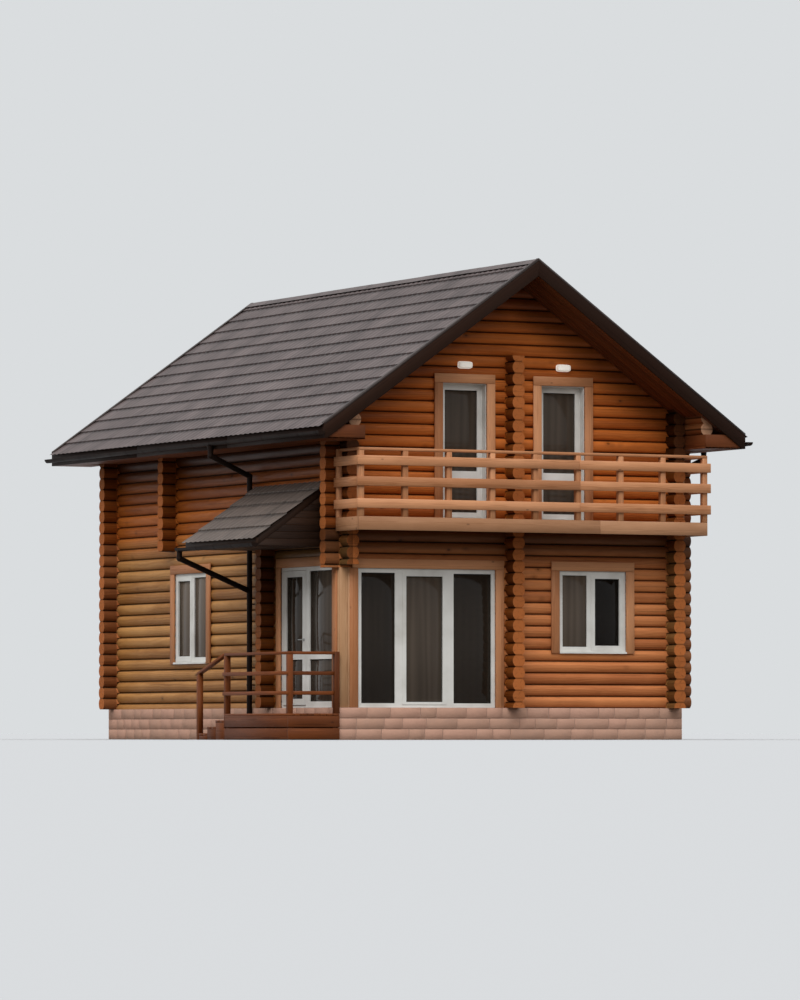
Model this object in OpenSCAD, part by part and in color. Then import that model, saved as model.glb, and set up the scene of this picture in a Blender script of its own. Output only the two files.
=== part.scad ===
// Two-storey house of milled logs with a steep metal-tile roof, a balcony over the
// front and a porch with its own canopy at the side. Millimetres, +Z up. The origin is
// on the ground under the middle of the front wall, and the front faces -Y.

/* [House] */
// Distance between the centrelines of the side walls
house_w = 6000; // [5600:100:6600]
// Distance between the centrelines of the front and rear walls
house_d = 8620; // [8000:20:9400]
// Height of the stone plinth above the ground
plinth_h = 516; // [360:2:620]
// How far the plinth's face stands outside the wall centrelines
plinth_out = 150; // [125:5:170]
// Width of the plinth strip at its foot
plinth_t = 400; // [340:10:500]
// Thickness of the ground floor
ground_floor_t = 120; // [80:5:160]

/* [Logs] */
// Diameter of a milled log
log_d = 220; // [210:2:236]
// Height that one course of logs takes up
course_h = 190; // [184:1:194]
// How far a log end stands past the wall that it crosses, from that wall's centreline
log_tip = 360; // [300:10:420]
// Courses from the plinth up to the upper storey
lower_courses = 15; // [15:1:16]
// Courses from the plinth up to the heads of the lower doors and windows
head_courses = 12; // [12:1:13]
// Gap beside a log in the notch of the log that it crosses
notch_gap = 1; // [0.5:0.5:3]

/* [Cross walls] */
// Place of the lower cross wall, behind the front wall's centreline
cross_y_low = 2370; // [2340:10:2600]
// Place of the upper cross wall, behind the front wall's centreline
cross_y_high = 6200; // [5900:50:6400]
// Top course that the gable's middle cross wall shows
gable_cross_courses = 30; // [28:1:31]

/* [Upper floor] */
// Depth of a floor joist
joist_h = 140; // [120:5:160]
// Width of a floor joist
joist_w = 120; // [80:5:140]
// Distance between joists, centre to centre
joist_pitch = 785; // [740:5:800]
// Number of joists
joist_n = 8; // [6:2:8]
// Thickness of the floor boards and the balcony's boards
board_t = 35; // [25:1:45]

/* [Roof] */
// Slope of the main roof and the porch canopy, in degrees
pitch = 35.4; // [34.5:0.1:36]
// Height of the rafters and boarding, measured plumb
rafter_v = 200; // [170:5:220]
// Height of the boarding's top above the upper floor, over the side walls' centrelines
knee_h = 2022; // [1980:2:2090]
// How far the metal tiles reach outside the side wall centrelines
eave_out = 890; // [780:10:960]
// How far the roof reaches past the front and rear wall centrelines
verge_out = 1020; // [950:10:1100]
// How far the eave plate logs' ends lie behind the roof's ends
plate_in = 150; // [100:10:250]
// How far the tiles overhang the eaves boarding
tile_drip = 70; // [50:5:80]
// Length of one step of the metal tiles, along the slope
tile_step = 350; // [300:10:400]
// Height of one step of the metal tiles
tile_rise = 26; // [16:1:32]
// Thickness of the tile sheet between steps
tile_t = 9; // [6:1:14]
// Depth of the bargeboards, measured plumb
barge_v = 285; // [260:5:320]
// Thickness of the bargeboards and the eaves fascia
barge_t = 28; // [20:1:40]
// How far a bargeboard stands above the boarding it is nailed to
barge_up = 48; // [40:2:60]
// Thickness of the soffit boards
soffit_t = 22; // [16:1:28]
// Girth half-width of the ridge cap
ridge_cap_w = 165; // [120:5:220]
// Thickness of the ridge cap
ridge_cap_t = 8; // [5:1:12]

/* [Rainwater] */
// How far the gutters run past the ends of the roof
gutter_end = 60; // [30:5:80]
// Height of the downpipes' feet above the ground
pipe_foot = 400; // [330:10:440]
// How far the canopy's drain falls on its way to the downpipe
drain_fall = 520; // [400:10:600]
// How far the gutters' rims lie below the tiles' edge
gutter_drop = 60; // [45:5:75]
// Radius of the gutter
gutter_r = 62; // [50:1:75]
// Thickness of the gutter's wall
gutter_t = 5; // [3:1:8]
// Radius of the downpipes
pipe_r = 45; // [36:1:52]
// Place of the downpipe on the side of the porch, behind the front wall's centreline
pipe_y_left = 3030; // [3000:10:3100]
// Place of the downpipe on the other side, behind the front wall's centreline
pipe_y_right = 420; // [380:10:600]
// How far the collar of a pipe's bend or clip stands out
collar = 4; // [2:0.5:6]
// Gap between a downpipe and the wall behind it
pipe_gap = 45; // [42:1:60]
// Height of a pipe clip and the width of its strap
clip_w = 30; // [20:2:40]
// Log of the side wall that carries a downpipe's lower clip, counted from the plinth
clip_log_low = 2; // [1:1:5]
// Log of the side wall that carries a downpipe's upper clip
clip_log_high = 9; // [7:1:11]

/* [Doors and windows] */
// Depth of a window or door frame
frame_d = 70; // [60:2:82]
// Width of a frame member
frame_w = 50; // [44:2:64]
// Width of a sash member inside the frame
sash_w = 70; // [50:2:90]
// How far a sash stands proud of its frame
sash_up = 8; // [4:1:14]
// Width of the bead round fixed glazing
bead_w = 20; // [12:1:30]
// How far a frame's face lies behind the outside of the logs
frame_in = 10; // [9:1:20]
// How far a balcony door's face lies behind the outside of the logs
door_in = 130; // [90:5:140]
// Thickness of the white lining in front of the balcony doors
lining_t = 14; // [9:1:20]
// Thickness of the glazing
glass_t = 24; // [16:2:32]
// Gap between a frame and the wall at its sides and head
frame_gap = 5; // [2:1:10]
// Thickness of the casing boards
casing_t = 28; // [18:1:35]
// Width of the casing boards at the windows
casing_w = 150; // [110:5:160]
// Gap between the casings and the logs
casing_gap = 0.3; // [0.1:0.1:0.6]
// How far a window's sill reaches out
sill_out = 50; // [30:5:70]
// Thickness of a window's sill
sill_t = 30; // [20:1:36]
// Left edge of the wide garden window, from the left wall's centreline
lake_in = 210; // [200:5:300]
// Right edge of the wide garden window, from the middle of the front
lake_gap = 300; // [270:5:500]
// Width of the posts in the wide garden window
lake_post = 110; // [80:5:140]
// Middle of the wide window's first post, from its left edge
lake_post_left = 750; // [650:10:850]
// Middle of the wide window's second post, from its left edge
lake_post_right = 1660; // [1560:10:1760]
// Left edge of the front window, from the middle of the front
front_x = 877; // [780:5:960]
// Middle of the front window's post, from its left edge
front_post = 570; // [500:10:700]
// Width of the front and rear windows
front_w = 1245; // [1100:5:1340]
// Height of the front and rear windows
front_h = 1342; // [1150:2:1380]
// Height of the front windows' heads above the ground
front_head = 2745; // [2700:5:2790]
// Far edge of the side window, behind the front wall's centreline
side_y = 6134; // [5900:2:6300]
// Width of the side windows
side_w = 1275; // [1100:5:1400]
// Height of the side windows
side_h = 1520; // [1300:5:1560]
// Height of the side windows' heads above the ground
side_head = 2790; // [2740:5:2796]
// Middle of the side windows' post, from their far edge
side_post = 690; // [560:10:740]
// Width of the posts in the smaller windows
post_t = 60; // [45:5:90]
// Depth of the bottom members of the smaller windows
low_member = 110; // [80:5:150]
// Middle of the left balcony door, from the middle of the front
balcony_door_left = -860; // [-920:10:-800]
// Middle of the right balcony door, from the middle of the front
balcony_door_right = 950; // [860:10:1000]
// Width of a balcony door
balcony_door_w = 805; // [720:5:860]
// Height of a balcony door
balcony_door_h = 2215; // [2100:5:2260]
// Height of a balcony door's lower pane
low_pane_h = 540; // [450:10:620]
// Depth of a balcony door's middle and bottom rails
door_rail = 130; // [100:5:150]
// Height of the upper rear windows
loft_window_h = 1300; // [1100:10:1400]
// Height of the upper rear windows' sills above the upper floor
loft_sill_h = 880; // [800:10:980]
// Near edge of the entrance, behind the front wall's centreline
entrance_y = 120; // [110:5:160]
// Width of the entrance with its side light
entrance_w = 1905; // [1820:5:1925]
// Width of the post between the door leaf and the side light
door_post = 110; // [60:5:130]
// Width of the door leaf's stiles
stile_w = 125; // [90:5:140]
// Height of the middle rails of the door and its side light above the floor
mid_rail_h = 830; // [700:10:950]
// Depth of the middle and bottom rails
rail_d = 100; // [80:5:120]
// Height of the door's threshold
threshold_h = 40; // [25:1:50]
// Gap all round the door leaf, more where its free edge swings
leaf_gap = 6; // [5:1:8]
// Gap at the door leaf's free edge
leaf_swing_gap = 9; // [8:1:12]
// Radius of the door hinges' barrels
hinge_r = 8; // [6:1:10]
// Length of half a hinge barrel
hinge_l = 50; // [35:1:60]
// Number of hinges on the door
hinge_n = 3; // [2:1:4]
// Distance of the lowest hinge above the floor, and of the highest below the head
hinge_edge = 250; // [180:10:350]
// Length of a hinge's plate
hinge_plate = 34; // [24:1:44]
// Height of the door handle above the floor
handle_h = 1100; // [950:10:1150]
// Length of the handle's grip
handle_l = 120; // [100:5:140]
// How far the grip stands off the door
handle_out = 50; // [40:2:60]
// Radius of the grip
handle_r = 9; // [7:1:11]
// Radius of the handle's rose
rose_r = 24; // [20:1:28]
// Thickness of the handle's rose
rose_t = 8; // [5:1:12]

/* [Balcony] */
// How far the balcony's face stands before the front wall's centreline
balcony_out = 950; // [850:10:1000]
// How far the balcony's end posts stand outside the walls' faces
balcony_past = 75; // [60:5:110]
// Height of the balcony's edge beam
edge_beam_h = 215; // [190:5:230]
// Thickness of the balcony's edge beam
edge_beam_t = 60; // [45:5:70]
// Height of the balcony's handrail above its deck
balcony_rail_h = 1095; // [1000:5:1150]
// Number of posts along the balcony's front
balcony_posts = 9; // [7:2:9]
// Side of a balcony post
post_w = 90; // [70:5:100]
// Height of a balcony rail board
rail_h = 150; // [120:5:160]
// Thickness of a rail board
rail_t = 36; // [28:1:42]
// How far the front rail boards run past the end posts
rail_past = 46; // [40:2:60]
// Thickness of the flat handrail
cap_t = 46; // [36:2:56]
// Height of the lamps above the balcony's deck
lamp_h = 2510; // [2400:10:2560]
// Width of a lamp
lamp_w = 255; // [200:5:300]
// Height of a lamp's body
lamp_d = 120; // [90:5:140]
// How far a lamp stands out from the logs
lamp_out = 85; // [60:5:110]

/* [Porch] */
// How far the porch deck reaches outside the side wall's centreline
porch_out = 1060; // [980:10:1150]
// Length of the porch deck behind the front wall's centreline
porch_y1 = 2200; // [2150:10:2240]
// How far the porch deck reaches before the front wall's centreline
porch_y0 = 190; // [160:5:230]
// Height of the porch deck
porch_h = 420; // [330:5:440]
// Length of one tread
tread_d = 320; // [290:5:340]
// Number of treads below the deck
tread_n = 3; // [2:1:3]
// Height of the porch handrail above the deck
porch_rail_h = 985; // [900:5:1050]
// Height of a porch rail board
porch_board_h = 60; // [45:5:80]
// Thickness of a porch rail board
porch_board_t = 28; // [20:1:35]
// Height of the newel at the foot of the steps
newel_h = 1075; // [950:5:1150]
// Side of a porch post
porch_post = 85; // [70:5:95]

/* [Canopy] */
// How far the canopy's tiles reach outside the side wall's centreline
canopy_out = 1450; // [1350:10:1500]
// Near edge of the canopy, behind the front wall's centreline
canopy_y0 = 250; // [200:10:300]
// Far edge of the canopy, behind the front wall's centreline
canopy_y1 = 2930; // [2850:10:2940]
// Height of the canopy's boarding at its outer edge, above the heads of the lower doors
canopy_over = 444; // [425:1:470]
// Height of the canopy's rafters and boarding, measured plumb
canopy_v = 120; // [90:5:130]
// How far the tops of the canopy's end boards lie below its boarding
cheek_in = 20; // [10:2:60]
// How far the canopy's tiles overhang its end boards
canopy_verge = 20; // [10:2:40]

/* [Hidden] */
$fn = 48;
wood = [0.80, 0.50, 0.26];
pine = [0.87, 0.60, 0.38];
brown = [0.25, 0.18, 0.15];
tile_grey = [0.33, 0.29, 0.29];
porch_brown = [0.42, 0.23, 0.15];
big = 20000;
hw = house_w / 2;
log_r = log_d / 2;
notch_half = log_r + notch_gap;
storey_z = plinth_h + lower_courses * course_h;
side_storey_z = storey_z + course_h / 2;
head_z = plinth_h + head_courses * course_h;
deck_z = storey_z + joist_h + board_t;
slope = tan(pitch);
ridge_h = deck_z + knee_h + slope * hw;
deck_under = ridge_h - rafter_v;
plate_z = plinth_h + (floor((deck_under - slope * hw - plinth_h) / course_h) - 1.5) * course_h;
plate_x = hw + log_d + notch_gap;
plate_tip = verge_out - plate_in;
wall_out = hw + log_r;
eave_x = hw + eave_out - tile_drip;
soffit_z = ridge_h - slope * eave_x - rafter_v - soffit_t;
gable_cross_z = plinth_h + gable_cross_courses * course_h;
cross_high_z = storey_z - course_h;
balcony_door_xs = [balcony_door_left, balcony_door_right];
balcony_half = wall_out + balcony_past - post_w / 2;
canopy_eave_h = head_z + canopy_over;
canopy_low = canopy_eave_h - canopy_v;
left_cross_top = canopy_low - soffit_t;
lake_x = -hw + lake_in;
lake_w = hw - lake_in - lake_gap;
joist_xs = [for (i = [0:joist_n - 1]) (i - (joist_n - 1) / 2) * joist_pitch];
balcony_front = -balcony_out;
seat = 0.3;
bend_drop = 110;
neck_slope = 0.45;
pipe_x = -wall_out - pipe_gap - pipe_r;
clip_heights = [for (k = [clip_log_low, clip_log_high]) plinth_h + k * course_h - clip_w / 2];
gutter_x = eave_x + barge_t + gutter_r + 1;
gutter_z = roof_z(hw + eave_out) - gutter_drop;
canopy_gutter_x = hw + canopy_out - tile_drip + barge_t + gutter_r + 1;
canopy_gutter_z = canopy_eave_h - slope * tile_drip - gutter_drop;
entrance_x = -entrance_y - entrance_w;
entrance_h = head_z - plinth_h - frame_gap;
leaf_bay = (entrance_w - 2 * frame_w - door_post) / 2;
leaf_w = leaf_bay - leaf_gap - leaf_swing_gap;
leaf_h = entrance_h - threshold_h - frame_w - 2 * leaf_gap;

// Height of the boarding's top at a distance from the ridge.
function roof_z(x) = ridge_h - slope * abs(x);

// Windows and doors are [left edge, sill, width, height, panes, sashes]. Panes and sashes
// are [left, bottom, width, height] in the frame. A bay is [left, right, opens].
function bays(w, posts, post, opens) =
    let (xs = concat([frame_w], [for (m = posts) each [m - post / 2, m + post / 2]], [w - frame_w]))
    [for (i = [0:len(posts)]) [xs[2 * i], xs[2 * i + 1], opens[i]]];
function bay_panes(bays, h, low) =
    [for (b = bays) let (e = b[2] ? sash_w : bead_w, up = low + (b[2] ? bead_w : 0))
        [b[0] + e, up, b[1] - b[0] - 2 * e, h - frame_w - e - up]];
function bay_sashes(bays, h) =
    [for (b = bays) if (b[2]) [b[0], frame_w, b[1] - b[0], h - 2 * frame_w]];
function glazed(x, z, w, h, bays, low) = [x, z, w, h, bay_panes(bays, h, low), bay_sashes(bays, h)];

front_bays = bays(front_w, [front_post], post_t, [false, true]);
side_bays = bays(side_w, [side_post], post_t, [true, false]);
lake = glazed(lake_x, plinth_h, lake_w, front_head - plinth_h,
    bays(lake_w, [lake_post_left, lake_post_right], lake_post, [false, true, false]),
    frame_w + bead_w);
function front_like(x) = glazed(x, front_head - front_h, front_w, front_h, front_bays, low_member);
front_window = front_like(front_x);
rear_openings = [front_like(-front_x - front_w), front_like(front_x)];
function side_like(x) = glazed(x, side_head - side_h, side_w, side_h, side_bays, low_member);
side_window = side_like(-side_y);
side_window_right = side_like(side_y - side_w);
edge = frame_w + sash_w - lining_t;
function balcony_door(x) = [x - balcony_door_w / 2, deck_z, balcony_door_w, balcony_door_h,
    [[edge, door_rail, balcony_door_w - 2 * edge, low_pane_h],
     [edge, 2 * door_rail + low_pane_h, balcony_door_w - 2 * edge,
      balcony_door_h - edge - 2 * door_rail - low_pane_h]],
    [[frame_w, frame_w, balcony_door_w - 2 * frame_w, balcony_door_h - 2 * frame_w]]];
function loft_window(x) = glazed(x - balcony_door_w / 2, deck_z + loft_sill_h, balcony_door_w,
    loft_window_h, [[frame_w, balcony_door_w - frame_w, true]], frame_w + sash_w);
// A lower and an upper pane with a rail between them, whose middle is at mid.
function door_panes(w, h, stile, mid, top) =
    [[stile, rail_d, w - 2 * stile, mid - rail_d * 1.5],
     [stile, mid + rail_d / 2, w - 2 * stile, h - top - mid - rail_d / 2]];
hinge_zs = [for (i = [0:hinge_n - 1])
    plinth_h + hinge_edge + i * (entrance_h - 2 * hinge_edge - 2 * hinge_l) / (hinge_n - 1)];
leaf = [entrance_x + frame_w + leaf_gap, plinth_h + threshold_h + leaf_gap, leaf_w, leaf_h,
    door_panes(leaf_w, leaf_h, stile_w, mid_rail_h - threshold_h - leaf_gap, rail_d), []];
side_light = [entrance_x + frame_w + leaf_bay + door_post, plinth_h, leaf_bay, entrance_h,
    door_panes(leaf_bay, entrance_h, bead_w, mid_rail_h, frame_w + bead_w), []];
front_openings = [lake, front_window];
upper_front_openings = [for (x = balcony_door_xs) balcony_door(x)];
upper_rear_openings = [for (x = balcony_door_xs) loft_window(x)];

// Places on the four walls: x runs to the right and -y outwards, as seen from outside.
module on_front() { children(); }
module on_rear() { translate([0, house_d, 0]) rotate([0, 0, 180]) children(); }
module on_left() { translate([-hw, 0, 0]) rotate([0, 0, -90]) children(); }
module on_right() { translate([hw, 0, 0]) rotate([0, 0, 90]) children(); }

// A profile drawn in X and Z, carried along Y from y0 to y1.
module along_y(y0, y1) {
    translate([0, y1, 0]) rotate([90, 0, 0]) linear_extrude(y1 - y0) children();
}

// A box from one corner to the opposite one.
module box(a, b) { translate(a) cube(b - a); }

// Log walls

// The upright stack of round logs, seen at its ends, cut to the heights z0 and z1.
// shift is 0.5 where a log's middle lies half a course above the plinth.
module log_profile(z0, z1, shift) {
    k0 = floor((z0 - plinth_h) / course_h - shift);
    k1 = ceil((z1 - plinth_h) / course_h - shift);
    intersection() {
        union() {
            for (k = [k0:k1])
                translate([0, plinth_h + (k + shift) * course_h]) circle(r = log_r);
        }
        translate([-log_d, z0]) square([2 * log_d, z1 - z0]);
    }
}

// Logs lying along X, as the front and rear walls have them.
module logs_x(x0, x1, z0, z1) {
    translate([x0, 0, 0]) rotate([90, 0, 90]) linear_extrude(x1 - x0) log_profile(z0, z1, 0.5);
}

// Logs lying along Y, half a course off the others.
module logs_y(y0, y1, z0, z1) { along_y(y0, y1) log_profile(z0, z1, 0); }

// Half of each course between two heights, over a crossing: the lower half at shift 0,
// which a log along X loses, and the upper half at shift 0.5, which one along Y loses.
// slack is what each notch is cut larger by at its bottom and top.
module notches(z0, z1, shift, slack = 0) {
    for (k = [floor((z0 - plinth_h) / course_h) - 1:ceil((z1 - plinth_h) / course_h)]) {
        lo = max(z0, plinth_h + (k + shift) * course_h - slack);
        hi = min(z1, plinth_h + (k + shift + 0.5) * course_h + slack);
        if (hi > lo)
            translate([0, 0, lo]) linear_extrude(hi - lo)
                square(shift == 0 ? [2 * notch_half, 2 * log_d] : [2 * log_d, 2 * notch_half],
                       center = true);
    }
}

// Everything under the boarding of the main roof.
module under_roof() {
    intersection() {
        children();
        along_y(-2 * log_tip, house_d + 2 * log_tip)
            polygon([[-big, 0], [big, 0], [big, deck_under - slope * big], [0, deck_under],
                     [-big, deck_under - slope * big]]);
    }
}

// Space in the wall for a window or door.
module opening(w) {
    translate([w[0] - frame_gap, -log_d, w[1]])
        cube([w[2] + 2 * frame_gap, 2 * log_d, w[3] + frame_gap]);
}

// Front and rear walls up to the storey joint, in their own wall's place.
module front_wall_lower() {
    color(wood) difference() {
        logs_x(-hw - log_tip, hw + log_tip, plinth_h, storey_z);
        translate([-hw, 0, 0]) notches(head_z, storey_z, 0);
        for (x = [0, hw]) translate([x, 0, 0]) notches(plinth_h, storey_z, 0);
        opening(front_window);
        box([-hw - 2 * log_tip, -log_d, 0],
            [lake_x + lake_w + frame_gap, log_d, front_head + frame_gap]);
    }
}

module rear_wall_lower() {
    color(wood) on_rear() difference() {
        logs_x(-hw - log_tip, hw + log_tip, plinth_h, storey_z);
        for (x = [-hw, 0, hw]) translate([x, 0, 0]) notches(plinth_h, storey_z, 0);
        for (w = rear_openings) opening(w);
    }
}

// A gable with its storey: notched over the joists, the side walls and the cross wall,
// and cut back where the eaves' plate logs pass.
module gable_wall(openings) {
    difference() {
        logs_x(-hw - log_tip, hw + log_tip, storey_z, ridge_h);
        for (x = [-hw, hw]) translate([x, 0, 0]) notches(storey_z, ridge_h, 0);
        notches(deck_z, gable_cross_z, 0);
        for (x = joist_xs)
            box([x - joist_w / 2, -log_d, 0], [x + joist_w / 2, log_d, storey_z + joist_h]);
        for (s = [-1, 1])
            translate([s * (wall_out + log_tip), 0, plate_z + big / 2])
                cube([2 * log_tip, 2 * log_d, big], center = true);
        for (w = openings) opening(w);
    }
}

module front_wall_upper() { color(wood) under_roof() gable_wall(upper_front_openings); }
module rear_wall_upper() { color(wood) under_roof() on_rear() gable_wall(upper_rear_openings); }

// A side wall's logs in its own place, notched over the logs that cross them. The lower
// cross wall reaches up to cross_top.
module side_logs(y0, y1, z0, z1, cross_top) {
    difference() {
        logs_y(y0, y1, z0, z1);
        for (y = [0, house_d]) translate([0, y, 0]) notches(z0, z1, 0.5);
        translate([0, cross_y_low, 0]) notches(z0, min(z1, cross_top), 0.5);
        translate([0, cross_y_high, 0]) notches(max(z0, cross_high_z), min(z1, soffit_z), 0.5);
    }
}

module left_wall_lower() {
    color(wood) difference() {
        translate([-hw, 0, 0])
            side_logs(entrance_y + entrance_w + frame_gap, house_d + log_tip, plinth_h,
                      side_storey_z, left_cross_top);
        on_left() opening(side_window);
    }
}

module left_wall_over_door() {
    color(wood) translate([-hw, 0, 0])
        side_logs(-log_tip, entrance_y + entrance_w + frame_gap, head_z, side_storey_z,
                  left_cross_top);
}

module right_wall_lower() {
    color(wood) difference() {
        translate([hw, 0, 0])
            side_logs(-log_tip, house_d + log_tip, plinth_h, side_storey_z, storey_z);
        on_right() opening(side_window_right);
    }
}

module side_wall_upper(x) {
    color(wood) under_roof() translate([x, 0, 0])
        side_logs(-log_tip, house_d + log_tip, side_storey_z, ridge_h, storey_z);
}

module left_wall_upper() { side_wall_upper(-hw); }
module right_wall_upper() { side_wall_upper(hw); }

// Log ends of a cross wall that reach through the front or rear wall.
module cross_ends_y(z0, z1) {
    difference() {
        logs_y(-log_tip, log_r, z0, z1);
        notches(z0 - 1, z1 + 1, 0.5, seat);
    }
}

// Log ends of a cross wall that reach through the left wall.
module cross_ends_x(z0, z1) {
    difference() {
        logs_x(-log_tip, log_r, z0, z1);
        notches(z0 - 1, z1 + 1, 0, seat);
    }
}

module cross_wall_ends() {
    color(wood) {
        for (side = [0, 1]) translate([0, side * house_d, 0]) rotate([0, 0, side * 180]) {
            cross_ends_y(plinth_h, storey_z);
            cross_ends_y(deck_z, gable_cross_z);
        }
        for (side = [0, 1]) mirror([side, 0, 0]) translate([-hw, 0, 0]) {
            translate([0, cross_y_low, 0])
                cross_ends_x(plinth_h, side == 0 ? left_cross_top - seat : storey_z);
            translate([0, cross_y_high, 0]) cross_ends_x(cross_high_z, soffit_z - seat);
        }
    }
}

// The planked post between the garden window and the entrance.
module corner_pier() {
    color(pine) box([-wall_out, -log_r, plinth_h],
                    [lake_x - frame_gap, entrance_y - frame_gap, front_head + frame_gap]);
}

// Plinth and floors

module plinth() {
    color([0.72, 0.60, 0.55]) difference() {
        box([-hw - plinth_out, -plinth_out, 0], [hw + plinth_out, house_d + plinth_out, plinth_h]);
        box([-hw - plinth_out + plinth_t, -plinth_out + plinth_t, -1],
            [hw + plinth_out - plinth_t, house_d + plinth_out - plinth_t, plinth_h + 1]);
        translate([0, 0, plinth_h - ground_floor_t]) floor_plan(ground_floor_t + 1, 0);
    }
}

// A plate that fills the house between the inner faces of its walls.
module floor_plan(thickness, gap) {
    box([-hw + log_r + gap, log_r + gap, 0], [hw - log_r - gap, house_d - log_r - gap, thickness]);
}

module ground_floor() {
    color(pine) translate([0, 0, plinth_h - ground_floor_t]) floor_plan(ground_floor_t, 2);
}

module floor_joists() {
    color(pine) for (x = joist_xs)
        box([x - joist_w / 2, balcony_front + edge_beam_t, storey_z],
            [x + joist_w / 2, house_d + log_r, storey_z + joist_h]);
}

module upper_floor() {
    color(pine) translate([0, 0, deck_z - board_t]) floor_plan(board_t, notch_gap);
}

// Windows and doors

// A frame round its panes, on a wall's place, with its sashes proud of its face. recess
// is how far the face lies behind the outside of the logs.
module frame_of(w, recess) {
    translate([w[0], recess - log_r, w[1]]) difference() {
        union() {
            cube([w[2], frame_d, w[3]]);
            for (p = w[5]) translate([p[0], -sash_up, p[1]]) cube([p[2], sash_up + 1, p[3]]);
        }
        for (p = w[4]) translate([p[0], -sash_up - 1, p[1]]) cube([p[2], frame_d + big, p[3]]);
    }
}

// The lining from the outside of the logs back to a deep-set frame.
module lining_of(w, recess) {
    translate([w[0], frame_in - log_r, w[1]]) difference() {
        cube([w[2], recess - frame_in, w[3]]);
        translate([lining_t, -1, lining_t])
            cube([w[2] - 2 * lining_t, recess, w[3] - 2 * lining_t]);
    }
}

// The sill board under a window, reaching out over the logs.
module sill_of(w) {
    translate([w[0], -log_r + frame_in - sill_out, w[1]]) cube([w[2], sill_out, sill_t]);
}

module glass_of(w, recess) {
    for (p = w[4])
        translate([w[0] + p[0], recess - log_r + (frame_d - glass_t) / 2, w[1] + p[1]])
            cube([p[2], glass_t, p[3]]);
}

module window_of(w) {
    frame_of(w, frame_in);
    sill_of(w);
}

module front_windows() {
    color("white") {
        frame_of(lake, frame_in);
        window_of(front_window);
    }
}

module side_windows() {
    color("white") {
        on_left() window_of(side_window);
        on_right() window_of(side_window_right);
    }
}

module rear_windows() {
    color("white") on_rear() for (w = concat(rear_openings, upper_rear_openings)) window_of(w);
}

module balcony_doors() {
    color("white") for (w = upper_front_openings) {
        frame_of(w, door_in);
        lining_of(w, door_in);
    }
}

module window_glass() {
    color([0.20, 0.22, 0.24]) {
        for (w = front_openings) glass_of(w, frame_in);
        for (w = upper_front_openings) glass_of(w, door_in);
        on_left() glass_of(side_window, frame_in);
        on_left() glass_of(side_light, frame_in);
        on_right() glass_of(side_window_right, frame_in);
        on_rear() for (w = concat(rear_openings, upper_rear_openings)) glass_of(w, frame_in);
    }
}

// The entrance: on the left wall's place x runs towards the front, so the leaf's edge
// is at the hinges and the side light ends at the corner pier.
module entrance_frame() {
    color("white") on_left() {
        translate([entrance_x, -log_r + frame_in, plinth_h]) difference() {
            cube([entrance_w, frame_d, entrance_h]);
            translate([frame_w, -1, threshold_h])
                cube([leaf_bay, frame_d + 2, entrance_h - threshold_h - frame_w]);
            for (p = side_light[4]) translate([side_light[0] - entrance_x + p[0], -1, p[1]])
                cube([p[2], frame_d + 2, p[3]]);
        }
        for (z = hinge_zs) hinge_half(z, -1);
    }
}

// Half of a hinge: its barrel on the pin and a plate on the inner face of the frame's
// jamb (side -1) or of the leaf's stile (side 1).
module hinge_half(z, side) {
    translate([leaf[0] - leaf_gap / 2, -log_r + frame_in + frame_d, z]) {
        translate([0, hinge_r, 0]) cylinder(r = hinge_r - 0.3, h = hinge_l);
        translate([side < 0 ? -hinge_plate : 0, 0, 0]) cube([hinge_plate, 4, hinge_l]);
    }
}

module entrance_door() {
    color("white") on_left() {
        frame_of(leaf, frame_in);
        for (z = hinge_zs) hinge_half(z + hinge_l + 0.3, 1);
    }
}

module door_glass() {
    color([0.20, 0.22, 0.24]) on_left() glass_of(leaf, frame_in);
}

module door_handle() {
    color("silver") on_left() translate([leaf[0] + leaf[2] - stile_w / 2, 0, plinth_h + handle_h])
        for (face = [-1, 1])
            translate([0, -log_r + frame_in + (face < 0 ? 0 : frame_d), 0]) {
                rotate([-90 * face, 0, 0]) cylinder(r = rose_r, h = rose_t);
                rotate([-90 * face, 0, 0]) cylinder(r = handle_r, h = handle_out);
                translate([handle_r, face * handle_out, 0]) rotate([0, -90, 0])
                    cylinder(r = handle_r, h = handle_l);
            }
}

// Boards round a window or door, on the outside of the logs: two jambs and a head.
module casing_of(w) {
    translate([w[0], -log_r - casing_gap - casing_t, 0]) difference() {
        translate([-casing_w, 0, w[1]]) cube([w[2] + 2 * casing_w, casing_t, w[3] + casing_w]);
        translate([0, -1, w[1] - 1]) cube([w[2], casing_t + 2, w[3] + 1]);
    }
}

// The wide window's casing stops at the left wall's log ends, which pass over it.
module front_casings() {
    color(pine) {
        for (w = concat([front_window], upper_front_openings)) casing_of(w);
        difference() {
            casing_of(lake);
            box([-wall_out, -log_tip, head_z - notch_gap], [notch_half - hw, 0, storey_z]);
        }
    }
}

// The entrance's casing stops below the front wall's log ends, which pass over it.
module side_casings() {
    color(pine) {
        on_left() casing_of(side_window);
        on_right() casing_of(side_window_right);
        on_left() difference() {
            casing_of([entrance_x, plinth_h, entrance_w, entrance_h]);
            box([-notch_half, -log_d, front_head + frame_gap - notch_gap],
                [log_tip, 0, storey_z]);
        }
    }
}

module rear_casings() {
    color(pine) on_rear() for (w = concat(rear_openings, upper_rear_openings)) casing_of(w);
}

// Main roof

// The boarding and rafters of one slope, from the ridge down to the eaves.
module roof_deck_right() {
    color(brown) along_y(-verge_out, house_d + verge_out)
        polygon([[0, roof_z(0)], [eave_x, roof_z(eave_x)], [eave_x, roof_z(eave_x) - rafter_v],
                 [0, roof_z(0) - rafter_v]]);
}

module roof_deck_left() { mirror([1, 0, 0]) roof_deck_right(); }

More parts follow.
